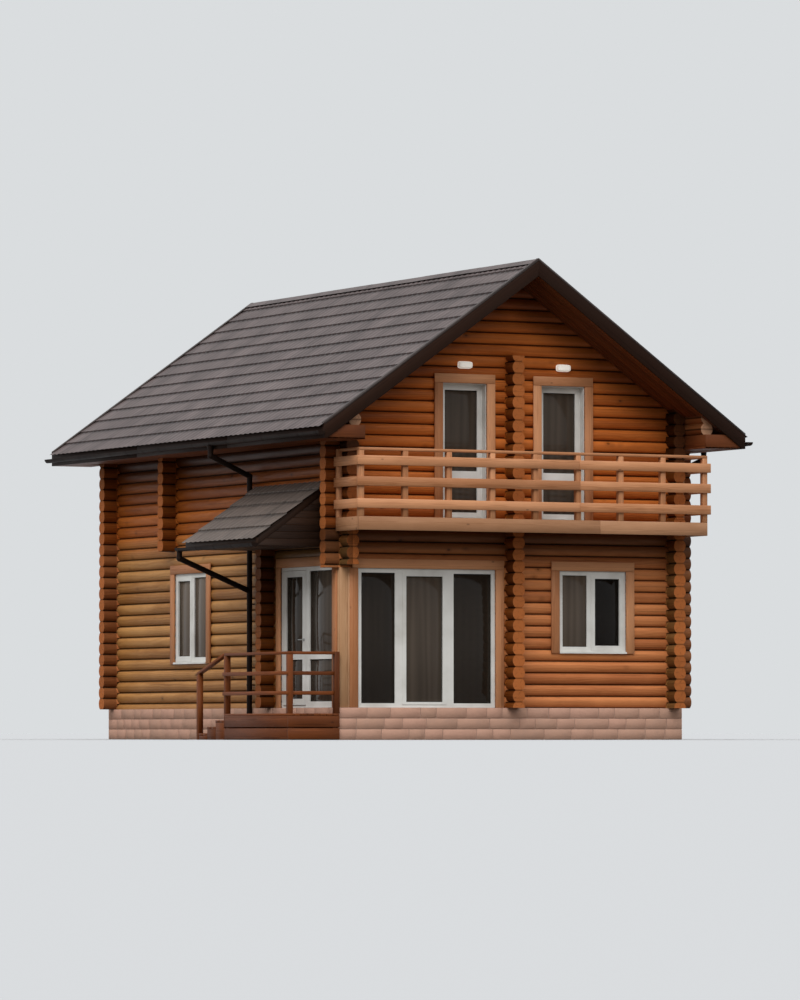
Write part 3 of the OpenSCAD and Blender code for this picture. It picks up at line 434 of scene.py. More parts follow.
@dataclass(frozen=True)
class LogStain(Finish):
    """Stained round logs with rings, knots and checks, and painted shade at the joint between
    courses.

    A log is found from its height, and a point on it by its distances from the log's pith.
    The rings are circles round the pith, so a long side shows drawn-out grain and a sawn end
    shows growth rings.
    """

    run: Run
    cover: Cover
    seed: float
    house: House
    end_grain: Colour
    # Light and deep colours of the painted light low on the side walls.
    lit_golden: Optional[tuple[Colour, Colour]] = None
    # Colour of the painted shade at the joints between courses.
    joint: Colour = srgb(30, 15, 6)
    ring_w: float = 0.0052
    crossing_reach: float = 0.5
    cross_at: tuple[float, float] = (2.37, 6.20)
    sheen: float = 0.13
    cover_fade: float = 0.60
    # Share by which painted shade darkens the logs close below their cover.
    cover_painted_shade: float = 0.52
    tip_painted_shade: float = 0.58
    lit_golden_top: float = 3.58
    lit_golden_full: float = 3.12
    relief: float = 0.0016

    def build(self) -> bpy.types.Material:
        """Builds the material.

        Returns:
            The material, for logs of the given house.
        """
        s = Shader(self.name)
        x, y, z = s.split(s.coordinates())
        along, off, facing_end, lift = self._lie(s, x, y)
        rows = (z - self.house.plinth) / self.house.course + lift
        index = rows.floor()
        dz = (rows - index - 0.5) * self.house.course
        off = self._from_centre(off)
        tone, shift, turn = s.dice(index, self.seed)
        wobble = s.noise_at(along * 0.45, index * 5.3 + self.seed, 0.0, 1.0) - 0.5
        drift = s.noise_at(along * 2.1, index * 3.1, off * 9.0, 2.0) - 0.5
        run_off = off - ((shift - 0.5) * 0.036 + wobble * 0.022)
        run_up = dz - ((turn - 0.5) * 0.036 + wobble * 0.018)
        radius = (run_off * run_off + run_up * run_up).root() + drift * 0.006
        rings = (radius * (2 * math.pi / self.ring_w)).wave()
        fibre = s.noise_at(along * 6.0, off * 180.0, dz * 180.0 + index * 7.0, 3.0)
        patch = s.noise_at(along * 0.9, index * 2.7 + self.seed, 0.5, 2.0)
        depth = (tone - 0.5) * 0.55 + (patch - 0.5) * 0.7 + rings * 0.16 + (fibre - 0.5) * 0.5
        light, deep = self.light, self.deep
        # Painted light: lighter golden low on the side walls, russet higher up in the eaves' shade.
        if self.lit_golden:
            fade = (z + tone * 0.25).step(self.lit_golden_top, self.lit_golden_full)
            light, deep = (s.mix(fade, *pair) for pair in zip((light, deep), self.lit_golden))
        colour = s.mix((depth + 0.42).step(0.0, 1.0), light, deep)
        knot = s.cells(along * 1.9 + shift * 9.0, index * 3.71 + dz * 3.2, self.seed)
        colour = s.tint(colour, 1.0 - knot.step(0.20, 0.06) * 0.22 - knot.step(0.075, 0.045) * 0.42)
        # Painted shade: close to each joint the logs darken to the joint colour, as the groove's
        # shade.
        seam = abs(dz).step(0.071, 0.0945)
        colour = s.mix(seam * 0.93, colour, self.joint)
        end_mask = facing_end.step(0.6, 0.8)
        heart = (run_up.angle(run_off) * 1.5 + turn * 6.0 + drift * 2.0).sine()
        split = abs(heart).step(0.05, 0.012) * radius.step(0.012, 0.03) * radius.step(0.105, 0.06)
        end = s.tint(self.end_grain, 1.06 - rings.power(2.2) * 0.30 - tone * 0.22 - split * 0.75)
        # Painted shade on the sides of the logs' tips, where they stand out past the walls.
        colour = s.tint(colour, 1.0 - self._beyond(x, y) * self.tip_painted_shade)
        colour = s.mix(end_mask * (1 - seam * 0.6), colour, end)
        line = abs(dz - (turn - 0.5) * 0.11 - wobble * 0.02 - drift * 0.012).step(0.0030, 0.0008)
        check = line * s.noise_at(along * 0.55, index * 9.1, self.seed, 0.0).step(0.56, 0.66)
        colour = s.tint(colour, 1.0 - check * 0.7)
        # Painted shade close below the balcony, the eaves, the roof or the porch canopy.
        colour = s.tint(colour, 1.0 - self._shaded_below_cover(x, y, z) * self.cover_painted_shade)
        height = rings * 0.22 + fibre * 0.5 - check * 2.2 - split * end_mask * 3.0
        rough = 0.42 + rings * 0.06 + end_mask * 0.25 + seam * 0.2
        return s.surface(colour, rough, self.sheen, (height, self.relief))

    def _lie(self, s: Shader, x: Sock, y: Sock) -> tuple[Sock, Sock, Sock, Number]:
        """Finds how the logs lie.

        Args:
            s: The tree that is built.
            x: The point's place along X.
            y: The point's place along Y.

        Returns:
            The place along a log, the place across it, how squarely the surface faces the
            log's end, and the share of a course by which the logs lie higher.
        """
        nx, ny, _ = s.split(s.coordinates("Normal"))
        if self.run is Run.CROSSING:
            on_x = abs(x) > self.crossing_reach
            pairs = ((x, y), (y, x), (abs(nx), abs(ny)))
            return *(a * on_x + b * (1 - on_x) for a, b in pairs), (1 - on_x) * 0.5
        if self.run is Run.ALONG_X:
            return x, y, abs(nx), 0.0
        return y, x, abs(ny), 0.5 if self.run is Run.ALONG_Y else 0.0

    def _from_centre(self, off: Sock) -> Sock:
        """Distance from the log's own centreline, on either side of the house.

        Args:
            off: Place across the logs.

        Returns:
            The distance, positive away from the middle on the side walls and to the rear.
        """
        if self.run is Run.ALONG_X:
            return off - (off > self.house.depth / 2) * self.house.depth
        if self.run is Run.ALONG_Y:
            return abs(off) - self.house.half
        if self.run is Run.PLATES:
            return abs(off) - (float(Box.of("eave_plates").high[X]) - self.house.log_r)
        low, high = self.cross_at
        return off - (off > 0.5) * low - (off > (low + high) / 2) * (high - low)

    def _beyond(self, x: Sock, y: Sock) -> Sock:
        """Finds the logs' tips, outside all four walls, whose sides take painted shade in the
        corners.

        Args:
            x: The point's place along X.
            y: The point's place along Y.

        Returns:
            1 on the tips and 0 between the walls.
        """
        middle = self.house.depth / 2
        past = (abs(x), self.house.wall_out), (abs(y - middle), middle + self.house.log_r)
        side, end = (place.step(wall - 0.01, wall + 0.02) for place, wall in past)
        return side.most(end)

    def _shaded_below_cover(self, x: Sock, y: Sock, z: Sock) -> Number:
        """Finds where shade is painted: the part of the wall close below what covers it.

        Args:
            x: The point's place along X.
            y: The point's place along Y.
            z: The point's height.

        Returns:
            The painted shade's strength: 1 or a little more close below the cover, fading to 0
            further down.
        """
        house, fade = self.house, self.cover_fade
        if self.cover is Cover.BALCONY:
            return z.step(house.storey - fade, house.storey - 0.15) * 1.35
        if self.cover is Cover.EAVE:
            return z.step(house.eave_z - fade - 0.15, house.eave_z - 0.05) * 1.6
        if self.cover is Cover.GABLE:
            gap = house.ridge - house.deck_thick - abs(x) * house.slope - z
            return gap.step(0.85, 0.15)
        if self.cover is Cover.CANOPY:
            # Painted shade beside the porch under the canopy, stronger higher up.
            porch = (x < -house.half) * y.step(house.porch_end + 0.35, house.porch_end - 0.25)
            under = z.step(house.canopy_z + 0.5, house.canopy_z)
            return porch * under * z.step(house.plinth, house.canopy_z - 0.3, 0.55, 1.0)
        return 0.0


@dataclass(frozen=True)
class BoardStain(Finish):
    """Stained sawn boards. The piece's attribute "grain" gives the point in its own log."""

    spread: float = 0.55
    rough: float = 0.5
    ring_w: float = 0.0085
    worn: Colour = srgb(150, 128, 108)
    wear: float = 0.0
    knots: float = 0.40
    sheen: float = 0.22
    relief: float = 0.0012

    def build(self) -> bpy.types.Material:
        """Builds the material.

        Returns:
            The material.
        """
        s = Shader(self.name)
        along, across, deep = s.split(s.attribute("grain", "Vector"))
        tone = s.attribute("tone")
        drift = s.noise_at(along * 1.1, across * 5.0, deep * 5.0, 2.0) - 0.5
        radius = (across * across + deep * deep).root() + drift * 0.022
        rings = (radius * (2 * math.pi / self.ring_w)).wave()
        fibre = s.noise_at(along * 7.0, across * 230.0, deep * 230.0, 3.0)
        patch = s.noise_at(along * 1.4, across * 6.0, tone * 30.0, 2.0)
        knot = s.cells(along * 2.3, across * 5.0, tone * 40.0).step(0.085, 0.05)
        depth = (tone - 0.5) * self.spread + (patch - 0.5) * 0.6 + rings.power(1.6) * 0.26
        depth = depth + (fibre - 0.5) * 0.45
        colour = s.mix((depth + 0.38).step(0.0, 1.0), self.light, self.deep)
        colour = s.tint(colour, 1.0 - knot * self.knots)
        if self.wear:
            colour = s.mix((patch - 0.35) * self.wear, colour, self.worn)
        rough = self.rough + rings * 0.06 + (fibre - 0.5) * 0.12
        height = fibre * 0.6 + rings * 0.3 - knot * 0.3
        return s.surface(colour, rough, self.sheen, (height, self.relief))


@dataclass(frozen=True)
class PlankStain(Finish):
    """Boards drawn on a plain slab: bands across one axis, each with its own tone."""

    across: Axis
    width: float = 0.115
    rough: float = 0.55
    sheen: float = 0.4
    relief: float = 0.0016

    def build(self) -> bpy.types.Material:
        """Builds the material.

        Returns:
            The material.
        """
        s = Shader(self.name)
        parts = s.split(s.coordinates())
        along, up = parts[Y if self.across is X else X], parts[Z]
        rows = parts[self.across] / self.width
        index = rows.floor()
        gap = abs(rows - index - 0.5).step(0.462, 0.494)
        tone, shift, _ = s.dice(index)
        drift = s.noise_at(along * 0.8, index * 3.0, up, 2.0)
        fibre = s.noise_at(along * 6.0, rows * 26.0, up * 150.0, 3.0)
        rings = ((rows - index + drift * 2.0 + shift * 5.0) * 30.0).wave()
        depth = tone * 0.55 + rings * 0.18 + (fibre - 0.5) * 0.5 + (drift - 0.5) * 0.5
        colour = s.mix(depth.step(0.0, 1.0), self.light, self.deep)
        colour = s.tint(colour, 1.0 - gap * 0.82)
        height = fibre * 0.4 - gap * 2.5
        return s.surface(colour, self.rough + rings * 0.06, self.sheen, (height, self.relief))


@dataclass(frozen=True)
class CoatedSteel(Finish):
    """Painted steel sheet with faint dirt and a soft sheen.

    The attribute "tone" is the share of a tile's step passed; painted shadow lies at its top.
    """

    rough: float = 0.5
    scale: float = 1.6
    grit: float = 0.0
    step_shadow: float = 0.0
    sheen: float = 0.45
    relief: float = 0.0003

    def build(self) -> bpy.types.Material:
        """Builds the material.

        Returns:
            The material.
        """
        s = Shader(self.name)
        place = s.coordinates()
        x, y, z = s.split(place)
        cloud = s.noise(place, self.scale, 4.0)
        streak = s.noise_at(x * 1.2, y * 9.0, z * 1.2, 3.0)
        grain = s.noise(place, 420.0, 2.0)
        depth = (cloud - 0.5) * 1.1 + (streak - 0.5) * 0.8 + (grain - 0.5) * self.grit + 0.5
        colour = s.mix(depth.step(0.0, 1.0), self.light, self.deep)
        if self.step_shadow:
            # Painted shadow under the next step's nose, mottled by the streaks.
            step_shadow_mask = s.attribute("tone").step(0.70, 1.0) * (0.7 + streak * 0.6)
            colour = s.tint(colour, 1.0 - step_shadow_mask * self.step_shadow)
        rough = self.rough + (cloud - 0.5) * 0.22 + (grain - 0.5) * self.grit
        return s.surface(colour, rough, self.sheen, (grain, self.relief))


@dataclass(frozen=True)
class SatinWhite(Finish):
    """White window profile, faintly and unevenly greyed."""

    relief: float = 0.0002

    def build(self) -> bpy.types.Material:
        """Builds the material.

        Returns:
            The material.
        """
        s = Shader(self.name)
        place = s.coordinates()
        cloud = s.noise(place, 2.2, 4.0)
        fine = s.noise(place, 260.0, 2.0)
        colour = s.mix((cloud * 0.8 + fine * 0.2).step(0.35, 0.8), self.light, self.deep)
        return s.surface(colour, 0.30 + cloud * 0.14, relief=(fine, self.relief))


@dataclass(frozen=True)
class Glazing(Finish):
    """Double glazing over a dark room, where a net curtain hangs to the share of "tone".

    The light colour is the curtain's, and the deep one is painted shade for the dark room.
    """

    sheen: float = 0.16

    def build(self) -> bpy.types.Material:
        """Builds the material.

        Returns:
            The material.
        """
        s = Shader(self.name)
        place = s.coordinates()
        x, y, z = s.split(place)
        veil = s.attribute("tone")
        folds = s.noise_at(x * 5.0, y * 5.0, z * 0.3, 2.0)
        pleats = ((x + y) * 46.0 + folds * 9.0).wave()
        haze = s.noise(place, 3.0, 3.0)
        cloth = veil * (0.55 + folds * 0.5 + pleats * 0.22)
        colour = s.mix(cloth + haze * 0.03, self.deep, self.light)
        return s.surface(colour, 0.05 + haze * 0.05, self.sheen, alpha=0.93 + veil * 0.05)


@dataclass(frozen=True)
class StoneFacing(Finish):
    """Cut facing stone: each stone, by its attribute "tone", has its own shade."""

    grey: Colour
    sheen: float = 0.3
    relief: float = 0.004

    def build(self) -> bpy.types.Material:
        """Builds the material.

        Returns:
            The material.
        """
        s = Shader(self.name)
        tone = s.attribute("tone")
        place = s.coordinates()
        cloud = s.noise(place, 7.0, 5.0)
        pits = s.noise(place, 95.0, 4.0)
        colour = s.mix(tone.step(0.1, 0.9) * 0.5, self.light, self.deep)
        colour = s.mix((cloud + (tone - 0.5) * 0.3).step(0.45, 0.85) * 0.4, colour, self.grey)
        colour = s.tint(colour, 0.84 + cloud * 0.22 + pits * 0.12)
        height = cloud * 2.0 + pits
        return s.surface(colour, 0.78 + pits * 0.12, self.sheen, (height, self.relief))


@dataclass(frozen=True)
class Grainy(Finish):
    """A plain material with fine mottling, for mortar, rubber, brushed metal and lamps."""

    rough: float
    metal: float = 0.0
    scale: float = 40.0
    relief: float = 0.0004
    # Painted light: emission that stands in for daylight on the surface.
    painted_glow: float = 0.0
    painted_glow_colour: Colour = (1.0, 0.93, 0.84)

    def build(self) -> bpy.types.Material:
        """Builds the material.

        Returns:
            The material.
        """
        s = Shader(self.name)
        place = s.coordinates()
        broad = s.noise(place, self.scale / 8, 3.0)
        fine = s.noise(place, self.scale * 4, 3.0)
        colour = s.mix(broad * 0.6 + fine * 0.4, self.light, self.deep)
        rough = self.rough + (broad - 0.5) * 0.2
        return s.surface(colour, rough, relief=(fine, self.relief), metallic=self.metal,
                         emission_strength=self.painted_glow, emission_color=self.painted_glow_colour)


FINISHES = (
    BoardStain("trim_pine", srgb(214, 152, 108), srgb(168, 108, 68)),
    BoardStain("pier_pine", srgb(222, 180, 140), srgb(176, 132, 94)),
    BoardStain("balcony_pine", srgb(208, 148, 106), srgb(160, 105, 67)),
    BoardStain("balcony_beam", srgb(192, 144, 108), srgb(147, 102, 69)),
    BoardStain("porch_stain", srgb(124, 66, 30), srgb(80, 39, 15), sheen=0.16),
    BoardStain("lining_board", srgb(116, 64, 34), srgb(76, 38, 18), knots=0.2, sheen=0.12),
    BoardStain("canopy_board", srgb(54, 35, 24), srgb(32, 19, 12), knots=0.2, sheen=0.12),
    BoardStain("barge_stain", srgb(50, 31, 22), srgb(32, 18, 12), wear=0.04, knots=0.2,
               sheen=0.06),
    PlankStain("floor_pine", srgb(206, 160, 110), srgb(164, 116, 72), X),
    PlankStain("roof_board", srgb(98, 52, 28), srgb(62, 30, 15), Y),
    Grainy("joist_stain", srgb(166, 98, 54), srgb(120, 66, 34), 0.6),
    CoatedSteel("roof_tile", srgb(97, 83, 81), srgb(66, 56, 55), grit=0.18, step_shadow=0.62),
    CoatedSteel("canopy_tile", srgb(110, 97, 89), srgb(78, 68, 62), grit=0.18, step_shadow=0.55),
    CoatedSteel("flashing", srgb(62, 50, 46), srgb(42, 33, 30), sheen=0.3),
    CoatedSteel("rainwater_brown", srgb(36, 24, 18), srgb(20, 12, 9), sheen=0.06),
    SatinWhite("window_white", srgb(226, 225, 220), srgb(196, 193, 186)),
    Glazing("glass", srgb(104, 91, 79), srgb(16, 10, 4)),
    StoneFacing("plinth_stone", srgb(190, 148, 128), srgb(178, 141, 119), srgb(152, 124, 110)),
    Grainy("mortar", srgb(174, 143, 126), srgb(150, 121, 106), 0.92, relief=0.002),
    Grainy("handle_steel", srgb(190, 190, 188), srgb(150, 150, 148), 0.32, metal=1.0),
    Grainy("gasket", srgb(24, 24, 25), srgb(14, 14, 15), 0.6),
    # The lamp covers' glow is painted light for the daylight on them; the lamps are not on.
    Grainy("lamp_white", srgb(252, 246, 236), srgb(240, 232, 220), 0.28, scale=12.0, painted_glow=0.30),
)


class Shape:
    """Points, faces and attributes of a piece, gathered as arrays and made into one mesh."""

    def __init__(self, seed: int = 0) -> None:
        """Starts an empty shape.

        Args:
            seed: Seed of its own random draws.
        """
        self.points: list[np.ndarray] = []
        self.faces: list[np.ndarray] = []
        self.grain: list[np.ndarray] = []
        self.tone: list[np.ndarray] = []
        self.count = 0
        self.random = np.random.default_rng(seed)

    def add(self, points: np.ndarray, faces: Iterable[np.ndarray],
            grain: Optional[np.ndarray] = None, tone: Union[float, np.ndarray] = 0.5) -> None:
        """Adds points and the faces between them.

        Args:
            points: One row for each point.
            faces: Arrays of point numbers, one for each number of corners.
            grain: The points in their board's own log; the points themselves if left out.
            tone: A shade from 0 to 1, for all points or for each.
        """
        points = np.asarray(points, float).reshape(-1, 3)
        self.faces.extend(np.asarray(f, int) + self.count for f in faces if len(f))
        self.points.append(points)
        self.grain.append(points if grain is None else np.asarray(grain, float).reshape(-1, 3))
        self.tone.append(np.broadcast_to(np.asarray(tone, float), len(points)))
        self.count += len(points)

    def make(self, name: str, material: bpy.types.Material,
             smooth: Optional[float] = None) -> bpy.types.Object:
        """Makes the object.

        Args:
            name: Name of the piece.
            material: Its material.
            smooth: Angle in degrees up to which edges are shaded smooth.

        Returns:
            The object, at the origin with its place in its mesh.
        """
        mesh = bpy.data.meshes.new(name)
        points = np.concatenate(self.points)
        corners = np.concatenate([f.ravel() for f in self.faces])
        sizes = np.concatenate([np.full(len(f), f.shape[1]) for f in self.faces])
        mesh.vertices.add(len(points))
        mesh.vertices.foreach_set("co", points.ravel())
        mesh.loops.add(len(corners))
        mesh.loops.foreach_set("vertex_index", corners)
        mesh.polygons.add(len(sizes))
        mesh.polygons.foreach_set("loop_start", np.concatenate([[0], np.cumsum(sizes)[:-1]]))
        for key, kind, prop, data in (("grain", "FLOAT_VECTOR", "vector", self.grain),
                                      ("tone", "FLOAT", "value", self.tone)):
            layer = mesh.attributes.new(key, kind, "POINT")
            layer.data.foreach_set(prop, np.concatenate(data).ravel().astype(np.float32))
        mesh.update(calc_edges=True)
        mesh.validate()
        if smooth is not None:
            mesh.shade_smooth()
            mesh.set_sharp_from_angle(angle=math.radians(smooth))
        mesh.materials.append(material)
        made = bpy.data.objects.new(name, mesh)
        bpy.context.scene.collection.objects.link(made)
        return made

    def dress(self, name: str, finish: str, slot: str, *replaced: str, body: str = HOUSE_BODY,
              smooth: Optional[float] = None) -> None:
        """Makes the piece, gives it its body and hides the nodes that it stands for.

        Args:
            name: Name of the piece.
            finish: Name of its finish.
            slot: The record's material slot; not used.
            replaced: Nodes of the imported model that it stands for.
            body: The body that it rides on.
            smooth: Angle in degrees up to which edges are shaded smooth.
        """
        made = self.make(name, MATERIALS[finish], smooth)
        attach(made, body)
        if replaced:
            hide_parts(*replaced)
        LOG.info("%s: %d points", name, self.count)


def paint(finish: str, *nodes: str) -> None:
    """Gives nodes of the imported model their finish.

    Args:
        finish: Name of the finish.
        nodes: Names of the nodes.
    """
    for node in nodes:
        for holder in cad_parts[node].material_slots:
            holder.material = MATERIALS[finish]
        LOG.info("%s: finished", node)


def _box_template() -> tuple[np.ndarray, np.ndarray, list[np.ndarray]]:
    """A box with cut edges: three points at each corner, one for each face that meets there.

    Returns:
        The corners' signs, which coordinate of each point stays at full size, and the
        faces, turned so that they point outwards.
    """
    signs = np.array([[i, j, k] for i in (-1, 1) for j in (-1, 1) for k in (-1, 1)], float)
    corner = np.repeat(signs, 3, axis=0)
    full = np.tile(np.eye(3, dtype=bool), (8, 1))
    where = corner * np.where(full, 1.0, 0.8)
    axis = np.tile(np.arange(3), 8)
    groups = [np.flatnonzero((axis == a) & (corner[:, a] == sign))
              for a in range(3) for sign in (-1, 1)]
    for a, b in ((0, 1), (0, 2), (1, 2)):
        for sa in (-1, 1):
            for sb in (-1, 1):
                edge = (corner[:, a] == sa) & (corner[:, b] == sb) & ((axis == a) | (axis == b))
                groups.append(np.flatnonzero(edge))
    groups.extend(np.arange(3) + 3 * i for i in range(8))
    quads, triangles = [], []
    for group in groups:
        middle = where[group].mean(0)
        offset = where[group] - middle
        second = np.cross(middle / np.linalg.norm(middle), offset[0])
        turned = group[np.argsort(np.arctan2(offset @ second, offset @ offset[0]))]
        (quads if len(group) == 4 else triangles).append(turned)
    return corner, full, [np.array(quads), np.array(triangles)]


CORNERS, FULL, BOX_FACES = _box_template()


def repeated(faces: Iterable[np.ndarray], times: int, points: int) -> list[np.ndarray]:
    """The faces of many copies of a form that has the given number of points."""
    step = (np.arange(times) * points)[:, None, None]
    return [(f[None] + step).reshape(-1, f.shape[1]) for f in faces]


class Boards(Shape):
    """Sawn boards with eased edges. Each board lies in a log of its own for its grain."""

    def __init__(self, seed: int = 0, chamfer: float = 0.003) -> None:
        """Starts an empty shape whose boards have edges eased by the chamfer."""
        super().__init__(seed)
        self.chamfer = chamfer

    def lay(self, centres: np.ndarray, axes: np.ndarray, sizes: np.ndarray) -> None:
        """Lays boards.

        Args:
            centres: Middle of each board.
            axes: For each board the directions of its length, width and thickness.
            sizes: Length, width and thickness of each board.
        """
        count = len(centres)
        axes = np.broadcast_to(np.asarray(axes, float), (count, 3, 3))
        sizes = np.broadcast_to(np.asarray(sizes, float), (count, 3))
        cut = np.minimum(self.chamfer, sizes.min(1) * 0.3)[:, None, None]
        local = CORNERS[None] * (sizes[:, None, :] / 2 - cut * ~FULL[None])
        points = centres[:, None, :] + np.einsum("nki,nij->nkj", local, axes)
        pith = np.stack([
            self.random.uniform(-40, 40, count),
            self.random.uniform(-0.07, 0.07, count),
            self.random.uniform(0.03, 0.11, count) * self.random.choice([-1, 1], count),
        ], 1)
        tone = np.repeat(self.random.uniform(0, 1, count), len(CORNERS))
        self.add(points, repeated(BOX_FACES, count, len(CORNERS)), local + pith[:, None, :], tone)

    def fill(self, box: Box, along: Axis, wide: Axis, spans: dict[Axis, Span]) -> None:
        """Lays boards square to the frame, which fill a box but for the spans given.

        Args:
            box: Box whose extents hold on the other axes.
            along: Direction of the grain.
            wide: Direction of the width.
            spans: Lowest and highest place on some axes, as numbers or as arrays.
        """
        ends = [spans.get(axis, (box.low[axis], box.high[axis])) for axis in Axis]
        low, high = (np.stack(np.broadcast_arrays(*(np.atleast_1d(end[k]) for end in ends)), 1)
                     for k in (0, 1))
        order = [along, wide, 3 - along - wide]
        axes = np.eye(3)[order]
        if np.linalg.det(axes) < 0:
            axes = axes * np.array([[1], [1], [-1]])
        self.lay((low + high) / 2, axes, (high - low)[:, order])

    def prism(self, outline: Sequence[Sequence[float]], near: float, far: float,
              along: Sequence[float] = (1, 0), through: Axis = Y) -> None:
        """A board of any convex outline, with eased edges.

        The outline is drawn in the two axes other than through. Each cap is the outline with
        every side moved inwards by the eased edge's width.

        Args:
            outline: The corners in order.
            near: Lowest place along through.
            far: Highest place along through.
            along: Direction of its grain, in the outline's plane.
            through: Direction of the board's thickness.
        """
        flat = [a for a in Axis if a is not through]
        corners = np.asarray(outline, float)
        after = np.roll(corners, -1, 0)
        area = np.sum(corners[:, 0] * after[:, 1] - corners[:, 1] * after[:, 0])
        side = (after - corners) / np.linalg.norm(after - corners, axis=1)[:, None]
        inward = np.stack([-side[:, 1], side[:, 0]], 1) * np.sign(area)
        before = np.roll(inward, 1, 0)
        lean = (inward + before) / (1 + np.sum(inward * before, 1))[:, None]
        cut = min(self.chamfer, (far - near) * 0.3)
        inner = corners + lean * cut
        count = len(corners)
        points = np.zeros((4, count, 3))
        points[:, :, flat] = [inner, corners, corners, inner]
        points[:, :, through] = np.array([near, near + cut, far - cut, far])[:, None]
        points = points.reshape(-1, 3)
        index = np.arange(count)
        following = np.roll(index, -1)
        ring = np.stack([index, following, following + count, index + count], 1)
        faces = [*repeated([ring], 3, count), index[None, ::-1], index[None] + 3 * count]
        if np.sign(area) * (-1 if through is Y else 1) < 0:
            faces = [f[:, ::-1] for f in faces]
        grain_dir = np.zeros(3)
        grain_dir[flat] = np.asarray(along, float) / np.linalg.norm(along)
        through_dir = np.eye(3)[through]
        axes = np.stack([grain_dir, np.cross(through_dir, grain_dir), through_dir])
        pith = [self.random.uniform(*reach) for reach in ((-40, 40), (-0.07, 0.07), (0.03, 0.11))]
        grain = (points - points.mean(0)) @ axes.T + pith
        self.add(points, faces, grain, self.random.uniform())

    def screws(self, places: np.ndarray, outward: Axis, sign: float, radius: float = 0.006,
               proud: float = 0.0015) -> None:
        """Small round screw heads: an eight-sided disc with a domed middle.

        Args:
            places: Middle of each head on the surface.
            outward: Direction that the surface faces.
            sign: 1 or -1 along that direction.
            radius: Radius of a head.
            proud: Height of its middle above the surface.
        """
        sides = 8
        rim = np.zeros((sides + 1, 3))
        rim[:sides, [a for a in Axis if a is not outward]] = ring_profile(radius, sides)
        rim[:, outward] = -sign * proud
        rim[sides, outward] = sign * proud
        ring = np.arange(sides)
        faces = [np.stack([ring, np.roll(ring, -1), np.full(sides, sides)], 1), ring[None, ::-1]]
        if sign * (-1 if outward is Y else 1) < 0:
            faces = [f[:, ::-1] for f in faces]
        self.add(places[:, None, :] + rim[None], repeated(faces, len(places), sides + 1))


def ring_profile(radius: float, count: int) -> np.ndarray:
    """Points of a circle, as cosine and sine of evenly spaced angles."""
    turn = np.linspace(0, 2 * math.pi, count, endpoint=False)
    return radius * np.stack([np.cos(turn), np.sin(turn)], 1)


def loft(shape: Shape, sections: np.ndarray) -> None:
    """Skins a row of closed sections: quads between neighbours and a cap at each end.

    The surface point for section i and profile place j is sections[i, j]. Faces point
    outwards where the profile runs anticlockwise seen against the path's direction.

    Args:
        shape: The shape that takes the skin.
        sections: Array of sections, each a ring of points.
    """
    rows, columns = sections.shape[:2]
    index = np.arange(rows * columns).reshape(rows, columns)
    across = np.roll(index, -1, 1)
    quads = np.stack([index[:-1], across[:-1], across[1:], index[1:]], -1).reshape(-1, 4)
    shape.add(sections, [quads, index[0][None, ::-1], index[-1][None]])


def sheet(shape: Shape, top: np.ndarray, drop: np.ndarray, flip: bool,
          tone: np.ndarray) -> None:
    """A thin closed sheet from its top surface on a grid.

    The underside is the same grid moved by drop, and a strip closes the four edges.

    Args:
        shape: The shape that takes the sheet.
        top: Grid of points, rows by columns by three.
        drop: Vector from the top to the underside.
        flip: Whether the grid runs so that its faces have to be turned round.
        tone: Value of the attribute "tone" on the grid.
    """
    rows, columns = top.shape[:2]
    index = np.arange(rows * columns).reshape(rows, columns)
    upper = np.stack([index[:-1, :-1], index[:-1, 1:], index[1:, 1:], index[1:, :-1]], -1)
    upper = upper.reshape(-1, 4)
    lower = upper[:, ::-1] + rows * columns
    rim = np.concatenate([index[0, :-1], index[:-1, -1], index[-1, :0:-1], index[:0:-1, 0]])
    after = np.roll(rim, -1)
    edge = np.stack([after, rim, rim + rows * columns, after + rows * columns], 1)
    faces = np.concatenate([upper, lower, edge])
    if flip:
        faces = faces[:, ::-1]
    points = np.concatenate([top.reshape(-1, 3), (top + drop).reshape(-1, 3)])
    shape.add(points, [faces], None, np.tile(tone.ravel(), 2))


def pipe(shape: Shape, middle: Sequence[float], heights: Sequence[float],
         radii: Sequence[float], sides: int = 20) -> None:
    """A round upright pipe, whose radius may change on the way up or down.

    Args:
        shape: The shape that takes the pipe.
        middle: Place of its axis along X and Y.
        heights: Height of each ring.
        radii: Radius of each ring.
        sides: Number of sides.
    """
    rising = heights[-1] > heights[0]
    circle = ring_profile(1.0, sides)[:, ::-1] * [1.0, -1.0 if rising else 1.0]
    rings = np.zeros((len(heights), sides, 3))
    rings[:, :, :Z] = np.asarray(middle) + np.asarray(radii)[:, None, None] * circle[None]
    rings[:, :, Z] = np.asarray(heights)[:, None]
    loft(shape, rings)


